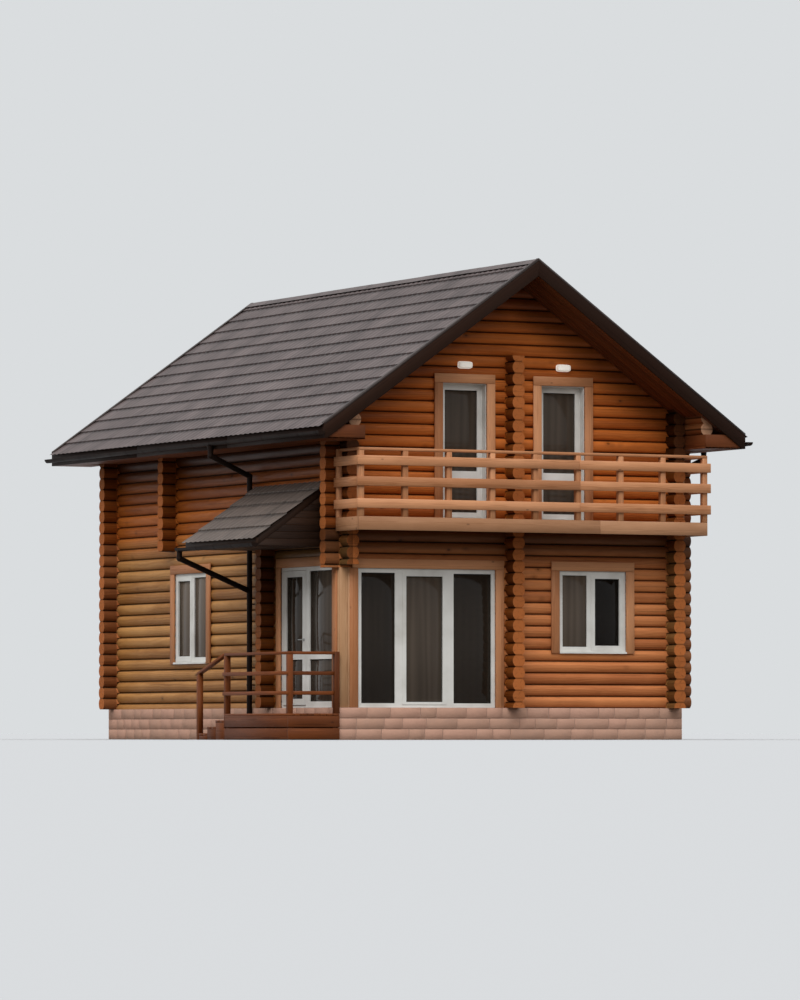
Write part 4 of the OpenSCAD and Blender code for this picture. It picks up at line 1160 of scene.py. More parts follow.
@dataclass
class LogBody:
    """The log walls, the floors and the joists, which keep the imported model's shapes."""

    house: House
    orange: tuple[Colour, Colour] = (srgb(220, 141, 86), srgb(166, 95, 53))
    amber: tuple[Colour, Colour] = (srgb(213, 119, 52), srgb(153, 74, 26))
    russet: tuple[Colour, Colour] = (srgb(197, 111, 46), srgb(138, 70, 22))
    golden: tuple[Colour, Colour] = (srgb(202, 148, 88), srgb(146, 95, 47))
    log_ends: Colour = srgb(186, 108, 56)
    plate_ends: Colour = srgb(222, 168, 132)

    def build(self) -> None:
        """Stains the logs, with painted light low on the side walls, and paints the inner floors.
        """
        rows = (
            (1, "front_wall_lower", "log_front_lower", Run.ALONG_X, self.orange, Cover.BALCONY),
            (2, "front_wall_upper", "log_front_upper", Run.ALONG_X, self.amber, Cover.GABLE),
            (3, "rear_wall_lower", "log_rear_lower", Run.ALONG_X, self.orange, Cover.NONE),
            (4, "rear_wall_upper", "log_rear_upper", Run.ALONG_X, self.amber, Cover.GABLE),
            (5, "left_wall_lower", "log_left_lower", Run.ALONG_Y, self.russet, Cover.CANOPY),
            (5, "left_wall_over_door", "log_left_over", Run.ALONG_Y, self.russet, Cover.CANOPY),
            (6, "left_wall_upper", "log_left_upper", Run.ALONG_Y, self.russet, Cover.EAVE),
            (7, "right_wall_lower", "log_right_lower", Run.ALONG_Y, self.russet, Cover.NONE),
            (8, "right_wall_upper", "log_right_upper", Run.ALONG_Y, self.russet, Cover.EAVE),
            (9, "cross_wall_ends", "log_cross_ends", Run.CROSSING, self.russet, Cover.CANOPY),
            (10, "eave_plates", "log_plates", Run.PLATES, self.orange, Cover.NONE),
        )
        for seed, node, name, run, (light, deep), cover in rows:
            ends = self.plate_ends if run is Run.PLATES else self.log_ends
            lit_golden = self.golden if run is Run.ALONG_Y else None
            LogStain(name, light, deep, run, cover, seed, self.house, ends, lit_golden).keep()
            paint(name, node)
        paint("floor_pine", "ground_floor", "upper_floor")
        paint("joist_stain", "floor_joists")
        paint("roof_board", "roof_deck_left", "roof_deck_right")


@dataclass
class Plinth:
    """Facing stones on the plinth's four sides, with mortar joints between them."""

    house: House
    rows: int = 3
    mean_length: float = 0.42
    shares: tuple[float, float] = (0.6, 1.4)
    joint: float = 0.010
    proud: float = 0.008
    uneven: float = 0.004
    seat: float = 0.022
    edge: float = 0.006
    seed: int = 11

    def build(self) -> None:
        """Lays the stones in rows, with their ends broken from row to row."""
        paint("mortar", "plinth")
        box = Box.of("plinth")
        stones = Boards(self.seed, self.edge)
        for along, across in ((X, Y), (Y, X)):
            past = self.proud if along is X else 0.0
            reach = (box.low[along] - past, box.high[along] + past)
            for face, outward in ((box.low[across], -1), (box.high[across], 1)):
                for base in np.arange(self.rows) * (box.size[Z] / self.rows):
                    self._row(stones, box, along, across, reach, face, outward, base)
        stones.dress("plinth_facing", "plinth_stone", "plinth_stone")

    def _row(self, stones: Boards, box: Box, along: Axis, across: Axis, reach: Span,
             face: float, outward: int, base: float) -> None:
        """One row of stones on one face, their lengths spread about the mean.

        Args:
            stones: The shape that takes them.
            box: The plinth's box.
            along: Direction of the row.
            across: Direction that the face looks in.
            reach: The row's two ends.
            face: Place of the plinth's face.
            outward: 1 or -1 along across.
            base: Height of the row's foot.
        """
        start, end = reach
        count = max(3, round((end - start) / self.mean_length))
        share = stones.random.uniform(*self.shares, count)
        cuts = start + np.concatenate([[0], np.cumsum(share / share.sum())]) * (end - start)
        inner = face - outward * self.seat
        outer = face + outward * (self.proud - stones.random.uniform(0.0, self.uneven, count))
        half_joint = self.joint / 2
        top = base + box.size[Z] / self.rows
        stones.fill(box, along, Z, {
            along: (cuts[:-1] + half_joint, cuts[1:] - half_joint),
            across: (np.minimum(inner, outer), np.maximum(inner, outer)),
            Z: (base + half_joint, top - half_joint),
        })


@dataclass
class Windows:
    """Frames, panes, gaskets and casing boards of every window and door."""

    house: House
    casing_w: float = 0.150
    gasket_w: float = 0.006
    gasket_out: float = 0.003
    seam: float = 0.0015
    screw_in: float = 0.028
    screw_end: float = 0.04
    screw_gap: float = 0.42
    log_clear: float = 0.001
    veils: tuple[float, ...] = (
        0.45, 0.55, 1.20, 1.10, 0.12, 0.40, 0.58, 0.60, 0.30, 0.42, 0.48, 0.15, 0.60, 0.42,
        0.48, 0.82, 0.70, 0.00, 0.30, 0.50, 0.70,
    )
    door_veils: tuple[float, ...] = (0.35, 0.40)

    def build(self) -> None:
        """Paints the frames and adds the panes, the gaskets and the casings."""
        paint("window_white", "front_windows", "side_windows", "rear_windows", "balcony_doors",
              "entrance_frame", "entrance_door")
        paint("handle_steel", "door_handle")
        self._panes("window", self.veils, HOUSE_BODY)
        self._panes("door", self.door_veils, DOOR_BODY)
        self._gaskets("window", HOUSE_BODY)
        self._gaskets("door", DOOR_BODY)
        for node in ("front_casings", "side_casings", "rear_casings"):
            self._casings(node)

    def _panes(self, kind: str, veils: Sequence[float], body: str) -> None:
        """Glass panes with ground edges, each with its own share of curtain behind it.

        Args:
            kind: Window or door, as in the node whose solids are the panes.
            veils: Share of curtain for each pane, in the order of the solids.
            body: Body that the panes ride on.
        """
        node = f"{kind}_glass"
        boxes = solids(node)
        low, high = np.array([b.low for b in boxes]), np.array([b.high for b in boxes])
        panes = Boards(7, 0.001)
        panes.fill(boxes[0], Z, X, {axis: (low[:, axis], high[:, axis]) for axis in Axis})
        panes.tone[-1] = np.repeat(np.asarray(veils, float), len(CORNERS))
        panes.dress(f"{kind}_panes", "glass", "glass", node, body=body)

    def _gaskets(self, kind: str, body: str) -> None:
        """A thin dark strip round both faces of every pane.

        Args:
            kind: Window or door, as in the node whose solids are the panes.
            body: Body that the strips ride on.
        """
        strip = Boards(3, 0.0008)
        for pane in solids(f"{kind}_glass"):
            thin, flat = self._facing(pane)
            for face in (pane.low[thin] - self.gasket_out, pane.high[thin]):
                for along, wide in ((flat, Z), (Z, flat)):
                    for edge in pane.ends(wide, self.gasket_w):
                        strip.fill(pane, along, wide,
                                   {thin: (face, face + self.gasket_out), wide: edge})
        strip.dress(f"{kind}_gaskets", "gasket", "window_white", body=body)

    def _facing(self, box: Box) -> tuple[Axis, Axis]:
        """The level axis through an upright slab and the one along it."""
        thin = Axis(int(np.argmin(box.size)))
        return thin, Axis(1 - thin)

    def _casings(self, node: str) -> None:
        """Two jamb boards and a head board for each casing of a node.

        Args:
            node: The node whose solids are the casings.
        """
        boards = Boards(len(node), 0.004)
        for box in solids(node):
            thin, flat = self._facing(box)
            near = box.low[thin] < self.house.depth / 2 and (thin is Y or box.low[X] < 0)
            face, outward = (box.low[thin], -1.0) if near else (box.high[thin], 1.0)
            head = box.high[Z] - self.casing_w
            top = {flat: self._head_reach(box, thin), Z: (head + self.seam, box.high[Z])}
            jambs = [{flat: edge, Z: (box.low[Z], head - self.seam)}
                     for edge in box.ends(flat, self.casing_w)]
            for along, wide, spans in ((flat, Z, top), (Z, flat, jambs[0]), (Z, flat, jambs[1])):
                boards.fill(box, along, wide, spans)
                places = self._pairs(spans[along], spans[wide], along, wide)
                places[:, thin] = face
                boards.screws(places, thin, outward)
        boards.dress(node.replace("casings", "casing_boards"), "trim_pine", "trim_pine", node)

    def _head_reach(self, box: Box, thin: Axis) -> Span:
        """Ends of a head board, which stops beside the logs that cross over it.

        Args:
            box: The casing's box.
            thin: Direction of its thickness.

        Returns:
            The board's ends along the wall.
        """
        flat = Axis(1 - thin)
        start, cut = box.low[flat], self.house.log_r + self.log_clear
        crossing = -self.house.half if thin is Y else 0.0
        return (crossing + cut if start < crossing + cut else start), box.high[flat]

    def _pairs(self, length: Span, width: Span, along: Axis, wide: Axis) -> np.ndarray:
        """Places of screws in pairs along a board.

        Args:
            length: The board's ends.
            width: Its edges.
            along: Direction of its length.
            wide: Direction of its width.

        Returns:
            One row for each screw, with 0 for the place through the board.
        """
        count = max(2, int((length[1] - length[0]) / self.screw_gap) + 1)
        places = np.zeros((count, 2, 3))
        places[:, :, along] = np.linspace(
            length[0] + self.screw_end, length[1] - self.screw_end, count)[:, None]
        places[:, :, wide] = (width[0] + self.screw_in, width[1] - self.screw_in)
        return places.reshape(-1, 3)


@dataclass
class Entrance:
    """The planked post beside the entrance and the metal strip on its threshold."""

    house: House
    plank: float = 0.028
    planks: int = 2
    gap: float = 0.003
    strip: float = 0.004
    lip: float = 0.012
    inside: float = 0.07
    under_leaf: float = 0.006
    hinge_clear: float = 0.04

    def build(self) -> None:
        """Clads the post's core with planks on its outer sides and lays the strip."""
        box = Box.of("corner_pier")
        boards = Boards(21)
        boards.fill(box, Z, X, {a: (box.low[a] + self.plank, box.high[a]) for a in (X, Y)})
        for axis, other, first in ((X, Y, 0.0), (Y, X, self.plank)):
            boards.fill(box, Z, axis, {
                axis: strips(box.low[axis] + first, box.high[axis], self.planks, self.gap),
                other: box.ends(other, self.plank)[0],
            })
        boards.dress("corner_planks", "pier_pine", "trim_pine", "corner_pier")
        outside, leaf = Box.of("entrance_frame").low[X], Box.of("entrance_door")
        top = leaf.low[Z] - self.under_leaf
        strip = Boards(5, 0.001)
        strip.fill(leaf, Y, X, {
            X: (outside - self.lip, outside + self.inside),
            Y: (leaf.low[Y], leaf.high[Y] - self.hinge_clear),
            Z: (top - self.strip, top),
        })
        strip.dress("entrance_threshold", "handle_steel", "handle_steel")


@dataclass(frozen=True)
class TileForm:
    """Form of pressed metal tiles: waves across the slope and steps up it."""

    house: House
    wave: float = 0.183
    wave_h: float = 0.013
    sharp: float = 1.3
    step: float = 0.350
    step_h: float = 0.019
    base: float = 0.002
    lobe: float = 0.014
    thick: float = 0.002
    slab: float = 0.035
    per_wave: int = 8
    nose_run: float = 0.012
    nose_near: float = 0.02
    first_share: float = 0.05
    end_clear: float = 0.02

    def height(self, across: np.ndarray, share: np.ndarray) -> np.ndarray:
        """Height above the boarding.

        The crest is a raised cosine across the slope, sharpened towards its top, and each
        step falls evenly from its nose, at share 0, to the next one's foot, at share 1.

        Args:
            across: Distance along the eave, in waves.
            share: Share of the step's length passed, going up.

        Returns:
            The heights in metres.
        """
        crest = (0.5 + 0.5 * np.cos(2 * math.pi * across)) ** self.sharp
        return self.base + self.wave_h * crest + self.step_h * (1 - share)

    def grid(self, length: float, start: float, end: float) -> tuple[np.ndarray, ...]:
        """The sheet before it is tilted.

        Args:
            length: Length up the slope.
            start: Lowest place along the eave.
            end: Highest place along the eave.

        Returns:
            Distance up the slope, place along the eave, height and share, each as a grid.
        """
        count = int(round((end - start) / self.wave * self.per_wave))
        place = np.linspace(start, end, count + 1)
        across = (place - start) / self.wave
        steps = np.arange(math.ceil(length / self.step))
        rows = (steps[:, None] + np.array([0.0, self.nose_run, 0.5])).ravel()
        shares = np.tile([1.0, 0.0, 0.5], len(steps))
        shares[0] = self.first_share
        keep = rows * self.step < length - self.end_clear
        rows = np.append(rows[keep], length / self.step)
        shares = np.append(shares[keep], (length / self.step) % 1.0)
        nose = (np.abs(rows - np.round(rows)) < self.nose_near).astype(float)
        nose[:1], nose[-1:] = 0, 0
        lobes = self.lobe * (1 - np.cos(2 * math.pi * across))
        up = rows[:, None] * self.step + nose[:, None] * lobes[None]
        share = np.broadcast_to(shares[:, None], up.shape)
        place = np.broadcast_to(place, up.shape)
        return up, place, self.height(across[None], share), share

    def cover(self, node: str, piece: str, finish: str, inner: float,
              foot: Optional[float] = None) -> None:
        """The tile sheet of one slope, in place of a node.

        A point at distance s up the slope and height h above it lies at the eave's edge
        plus s along the slope plus h along the slope's normal.

        Args:
            node: The node that holds the sheet's place.
            piece: Name of the sheet.
            finish: Name of its finish.
            inner: Distance from the middle of the house at which it ends.
            foot: Height of the slope at the eave's edge; the main roof's if left out.
        """
        box, house = Box.of(node), self.house
        side = -1 if box.middle[X] < 0 else 1
        sin, cos = math.sin(house.pitch), math.cos(house.pitch)
        edge = abs(box.low[X] if side < 0 else box.high[X]) - self.slab * sin
        up, place, height, share = self.grid((edge - inner) / cos, box.low[Y], box.high[Y])
        x = side * (edge - up * cos + height * sin)
        z = (house.roof_z(edge) if foot is None else foot) + up * sin + height * cos
        shape = Shape()
        drop = -self.thick * np.array([side * sin, 0.0, cos])
        sheet(shape, np.stack([x, place, z], -1), drop, side < 0, share)
        shape.dress(piece, finish, "roof_tile", node, smooth=40)


@dataclass
class MainRoof:
    """Metal tiles, ridge cap, flashings, bargeboards, fascias and linings."""

    house: House
    ridge_clear: float = 0.012
    cap_rounding: float = 0.020
    cap_thick: float = 0.003
    cap_down: float = 0.010
    cap_points: int = 25
    lap: float = 1.97
    lap_over: float = 0.05
    lap_lift: float = 0.0025
    stop_thick: float = 0.004
    stop_drop: float = 0.05
    barge_up: float = 0.048
    barge_v: float = 0.285
    flashing_t: float = 0.003
    flashing_drop: float = 0.034
    flashing_in: float = 0.085
    flashing_lip: float = 0.016
    fascia_boards: int = 3
    board_w: float = 0.112
    board_gap: float = 0.004
    soffit_t: float = 0.022
    lining_t: float = 0.014
    lining_past: float = 0.09
    lining_short: float = 0.02

    def build(self) -> None:
        """Builds the roof from the boarding outwards."""
        for name in ("left", "right"):
            TileForm(self.house).cover(f"roof_tiles_{name}", f"tile_sheet_{name}", "roof_tile",
                                       self.ridge_clear)
        self._ridge()
        self._bargeboards()
        self._flashings()
        self._fascias()
        self._soffits()
        self._linings()

    def _ridge(self) -> None:
        """The ridge cap: a rounded angle whose height falls as a hyperbola on both sides.

        The height at x is the top plus slope times the difference of the rounding and the
        root of x squared plus the rounding squared.
        """
        box = Box.of("ridge_cap")
        x = box.high[X] * np.sin(np.linspace(-math.pi / 2, math.pi / 2, self.cap_points))
        fall = self.cap_rounding - np.sqrt(x ** 2 + self.cap_rounding ** 2)
        outer = box.high[Z] - self.cap_down + self.house.slope * fall
        under = np.stack([x, outer - self.cap_thick], 1)
        shape = Shape()
        laps = np.arange(box.low[Y], box.high[Y], self.lap)
        for number, start in enumerate(laps):
            last = number == len(laps) - 1
            end = box.high[Y] if last else laps[number + 1] + self.lap_over
            lift = np.array([0.0, self.lap_lift * (number % 2)])
            profile = np.concatenate([np.stack([x, outer], 1), under[::-1]]) + lift
            self._extrude(shape, profile, start, end)
        stop = np.concatenate([under, [[0.0, outer[0] - self.stop_drop]]])
        for start, end in box.ends(Y, self.stop_thick):
            self._extrude(shape, stop, start, end)
        shape.dress("ridge_cover", "roof_tile", "roof_tile", "ridge_cap", smooth=35)

    def _extrude(self, shape: Shape, profile: np.ndarray, start: float, end: float) -> None:
        """Carries a profile, drawn across the house, from one place along it to another.

        Args:
            shape: The shape that takes it.
            profile: Points in X and Z.
            start: Lowest place along Y.
            end: Highest place along Y.
        """
        rings = np.zeros((2, len(profile), 3))
        rings[:, :, [X, Z]] = profile
        rings[:, :, Y] = [[start], [end]]
        loft(shape, rings)

    def _bargeboards(self) -> None:
        """Two boards at each gable, mitred at the ridge and cut level at their feet."""
        boards = Boards(31, 0.004)
        box = Box.of("bargeboards")
        thick = Box.of("roof_deck_left").low[Y] - box.low[Y]
        x, foot_z = box.high[X], box.low[Z]
        ridge = self.house.ridge + self.barge_up
        foot = (ridge - self.barge_v - foot_z) / self.house.slope
        for side in (-1, 1):
            outline = [[0.0, ridge - self.barge_v], [side * foot, foot_z], [side * x, foot_z],
                       [side * x, self.house.roof_z(x) + self.barge_up], [0.0, ridge]]
            for near, far in box.ends(Y, thick):
                boards.prism(outline, near, far, (side, -self.house.slope))
        boards.dress("barge_boards", "barge_stain", "roof_trim", "bargeboards")

    def _flashings(self) -> None:
        """A folded strip over each bargeboard and the tiles' edge.

        Its section is drawn across the rake with heights measured plumb above the boarding,
        and carried from the ridge to the eave.
        """
        box = Box.of("bargeboards")
        shape = Shape()
        t, inner = self.flashing_t, self.flashing_in
        drop, lip = self.flashing_drop, self.flashing_lip
        depth = np.array([-t, -t, inner, inner, inner - t, inner - t, 0.0, 0.0])
        plumb = np.array([-drop, t, t, -lip, -lip, 0.0, 0.0, -drop])
        for y, inward in ((box.low[Y], 1), (box.high[Y], -1)):
            for side in (-1, 1):
                section = np.zeros((2, len(depth), 3))
                for ring, x in zip(section, (0.0, box.high[X])):
                    ring[:, X] = side * x
                    ring[:, Y] = y + inward * depth
                    ring[:, Z] = self.house.roof_z(x) + self.barge_up + plumb
                loft(shape, section[:, ::-1] if side * inward > 0 else section)
        shape.dress("verge_flashings", "flashing", "roof_tile")

    def _fascias(self) -> None:
        """Boards along the eaves, three to a side."""
        boards = Boards(32)
        for box in solids("eave_fascias"):
            cuts = strips(box.low[Y], box.high[Y], self.fascia_boards, self.board_gap / 2)
            boards.fill(box, Y, Z, {Y: cuts})
        boards.dress("eave_boards", "barge_stain", "roof_trim", "eave_fascias")

    def _soffits(self) -> None:
        """Level boards under the eaves, let in round the corner logs' ends, and end boards."""
        box = Box.of("soffits")
        boards = Boards(33)
        start = self.house.wall_out + self.house.fit
        count = round((box.high[X] - start) / self.board_w)
        tip = Box.of("front_wall_upper").high[X]
        clear = self.house.log_r + self.house.fit
        for near, far in zip(*strips(start, box.high[X], count, self.board_gap)):
            stops = [box.low[Y], box.high[Y]]
            if near < tip:
                stops[1:1] = [-clear, clear, self.house.depth - clear, self.house.depth + clear]
            for stop in zip(stops[::2], stops[1::2]):
                for side in (-1, 1):
                    boards.fill(box, Y, X, {X: sided(side, near, far), Y: stop,
                                            Z: box.ends(Z, self.soffit_t)[0]})
        self._end_boards(boards, box, start)
        boards.dress("soffit_boards", "lining_board", "roof_board", "soffits")

    def _end_boards(self, boards: Boards, box: Box, start: float) -> None:
        """Boards that close the eaves' ends, from the soffit up to the roof or the plates.

        Args:
            boards: The shape that takes them.
            box: The soffits' box.
            start: Distance from the middle to the wall.
        """
        under = self.house.ridge - self.house.deck_thick
        top, thick = box.high[Z], self.soffit_t
        clear = self.house.log_r + self.house.fit
        for side in (-1, 1):
            outline = np.array([[start, box.low[Z]], [box.high[X], box.low[Z]],
                                [box.high[X], under - self.house.slope * box.high[X]],
                                [(under - top) / self.house.slope, top],
                                [start, top]]) * [side, 1]
            for near, far in box.ends(Y, thick):
                boards.prism(outline, near, far)
            for stop in ((box.low[Y] + thick, -clear),
                         (self.house.depth + clear, box.high[Y] - thick)):
                boards.fill(box, Y, Z, {X: sided(side, start, start + thick), Y: stop,
                                        Z: (box.low[Z] + thick, top)})

    def _linings(self) -> None:
        """Boards under the roof's overhang at both gables, running down the slope."""
        boards = Boards(34)
        box, house = Box.of("roof_deck_left"), self.house
        reach = house.half + self.lining_past
        sin, cos = math.sin(house.pitch), math.cos(house.pitch)
        count = round((-box.low[Y] - house.log_r) / self.board_w)
        level = np.array([0.0, 1.0, 0.0])
        for side in (-1, 1):
            way, normal = np.array([side * cos, 0.0, -sin]), np.array([side * sin, 0.0, cos])
            start = np.array([0.0, 0.0, house.ridge - house.deck_thick])
            end = np.array([side * reach, 0.0, house.roof_z(reach) - house.deck_thick])
            length = np.linalg.norm(end - start) - self.lining_short
            for y0, y1 in ((box.low[Y], -house.log_r), (house.depth + house.log_r, box.high[Y])):
                cuts = np.linspace(y0, y1, count + 1)
                centres = np.tile((start + end - normal * self.lining_t) / 2, (count, 1))
                centres[:, Y] = (cuts[:-1] + cuts[1:]) / 2
                sizes = [length, (y1 - y0) / count - self.board_gap, self.lining_t]
                boards.lay(centres, np.stack([way, level, np.cross(way, level)]), sizes)
        boards.dress("verge_linings", "lining_board", "roof_board")


@dataclass
class Rainwater:
    """Gutters and downpipes with their brackets, joints and outlets."""

    house: House
    bracket_gap: float = 0.62
    bracket_end: float = 0.12
    bracket_w: float = 0.026
    bracket_t: float = 0.0025
    joint_gap: float = 2.9
    joint_end: float = 0.5
    joint_w: float = 0.07
    joint_t: float = 0.0015
    hug: float = 0.0004
    over_rim: float = 0.02
    arc_points: int = 13
    funnel_heights: tuple[float, ...] = (0.012, -0.00975, -0.0489, -0.075)
    funnel_radii: tuple[float, ...] = (0.060, 0.060, 0.0485, 0.0485)
    sleeve_r: float = 0.0475
    sleeve_half: float = 0.035
    sleeve_foot: float = 0.02
    sleeve_z: float = 2.36
    pipe_out: float = 0.0905

    def build(self) -> None:
        """Paints the gutters and pipes and adds what holds and joins them."""
        paint("rainwater_brown", "gutters", "downpipe_left", "downpipe_right")
        straps = Shape()
        for box in solids("gutters"):
            count = max(3, int(round(box.size[Y] / self.bracket_gap)))
            for y in np.linspace(box.low[Y] + self.bracket_end, box.high[Y] - self.bracket_end,
                                 count):
                self._strap(straps, box, y, self.bracket_w, self.bracket_t)
            for y in np.arange(box.low[Y] + self.joint_gap, box.high[Y] - self.joint_end,
                               self.joint_gap):
                self._strap(straps, box, y, self.joint_w, self.joint_t)
        straps.dress("gutter_brackets", "rainwater_brown", "rainwater_brown", smooth=40)
        self._sleeves()

    def _strap(self, shape: Shape, gutter: Box, y: float, width: float, thick: float) -> None:
        """A band round the underside of a gutter: an arc of half a turn.

        Args:
            shape: The shape that takes it.
            gutter: The gutter's box.
            y: Middle of the band along the gutter.
            width: Width of the band.
            thick: Thickness of the band.
        """
        turn = np.linspace(math.pi - self.over_rim, 2 * math.pi + self.over_rim, self.arc_points)
        inner = gutter.size[X] / 2 + self.hug
        outer = inner + thick
        radii = np.array([inner, inner, outer, outer])
        rings = np.zeros((len(turn), 4, 3))
        rings[:, :, X] = gutter.middle[X] + radii * np.cos(turn)[:, None]
        rings[:, :, Y] = y + np.array([-0.5, 0.5, 0.5, -0.5]) * width
        rings[:, :, Z] = gutter.high[Z] + radii * np.sin(turn)[:, None]
        loft(shape, rings)

    def _sleeves(self) -> None:
        """A funnel at each outlet and sleeves where lengths of pipe join."""
        shape = Shape()
        for side, name in ((-1, "left"), (1, "right")):
            box = Box.of(f"downpipe_{name}")
            y = box.middle[Y]
            gutter = max((g for g in solids("gutters") if np.sign(g.low[X]) == side),
                         key=lambda g: g.high[Z])
            heights = gutter.low[Z] + np.array(self.funnel_heights)
            pipe(shape, (gutter.middle[X], y), heights, self.funnel_radii)
            wall = box.high[X] if side < 0 else box.low[X]
            x = side * (abs(wall) + self.pipe_out)
            for z in (box.low[Z] + self.sleeve_foot, self.sleeve_z):
                pipe(shape, (x, y), (z - self.sleeve_half, z + self.sleeve_half),
                     [self.sleeve_r] * 2)
        shape.dress("pipe_sleeves", "rainwater_brown", "rainwater_brown", smooth=40)


@dataclass
class Canopy:
    """The porch canopy: tile sheet, boards and cheeks."""

    house: House
    board_t: float = 0.022
    board_w: float = 0.112
    gap: float = 0.004
    seam: float = 0.001
    edge_h: float = 0.110
    fascia_t: float = 0.028
    under_tiles: float = 0.020
    rafter_h: float = 0.12
    rafter_in: float = 0.065
    deck_t: float = 0.018
    deck_in: float = 0.012
    least_board: float = 0.02
    least_top: float = 0.03

    def build(self) -> None:
        """Builds the sheet, the fascia, the soffit, the rafters, the deck and the cheeks."""
        tiles, box = Box.of("canopy_tiles"), Box.of("canopy_frame")
        TileForm(self.house).cover("canopy_tiles", "canopy_sheet", "canopy_tile",
                                   -tiles.high[X], tiles.low[Z])
        slope, low, top = self.house.slope, box.low[Z], box.high[Z]
        outer, inner = box.low[X] + self.fascia_t, box.high[X]
        eave = top - slope * (inner - outer)
        boards = Boards(41)
        for near, far in box.ends(Y, self.board_t):
            self._cheek(boards, near, far, outer, inner, low, eave, top)
        boards.fill(box, Y, Z, {X: (box.low[X], outer),
                                Z: (low, eave - slope * self.fascia_t - self.seam)})
        between = (box.low[Y] + self.board_t, box.high[Y] - self.board_t)
        count = round((inner - outer) / self.board_w)
        boards.fill(box, Y, X, {X: strips(outer, inner, count, self.gap), Y: between,
                                Z: (low, low + self.board_t)})
        for near, far, height in (
                (between[0], box.low[Y] + self.rafter_in, self.rafter_h),
                (box.high[Y] - self.rafter_in, between[1], self.rafter_h),
                (tiles.low[Y] + self.deck_in, tiles.high[Y] - self.deck_in, self.deck_t)):
            boards.prism([[outer, eave - height], [outer, eave], [inner, top],
                          [inner, top - height]], near, far, (1, slope))
        boards.dress("canopy_boards", "canopy_board", "roof_board", "canopy_frame")

    def _cheek(self, boards: Boards, near: float, far: float, outer: float, inner: float,
               low: float, eave: float, top: float) -> None:
        """One end of the canopy: a sloping edge board and level boards below it.

        Args:
            boards: The shape that takes them.
            near: Lowest place along Y.
            far: Highest place along Y.
            outer: Place of the eave along X.
            inner: Place of the wall along X.
            low: Height of the cheek's foot.
            eave: Height of the boarding's top at the eave.
            top: Height of the boarding's top at the wall.
        """
        slope, drop = self.house.slope, self.under_tiles
        boards.prism([[outer, eave - drop - self.edge_h], [outer, eave - drop],
                      [inner, top - drop], [inner, top - drop - self.edge_h]],
                     near, far, (1, slope))
        under = eave - drop - self.edge_h - self.gap
        peak = under + slope * (inner - outer)

        def rake(z: float) -> float:
            """Place along X at which the edge board's underside reaches a height."""
            return outer + max(0.0, (z - under) / slope)

        level = low
        while rake(level + self.board_w - self.gap) <= inner - self.least_top:
            head = level + self.board_w - self.gap
            outline = [[rake(level), level], [inner, level], [inner, head], [rake(head), head]]
            if level < under < head:
                outline.append([outer, under])
            boards.prism(outline, near, far)
            level += self.board_w
        if peak - level > self.least_board:
            boards.prism([[rake(level), level], [inner, level], [inner, peak]], near, far)


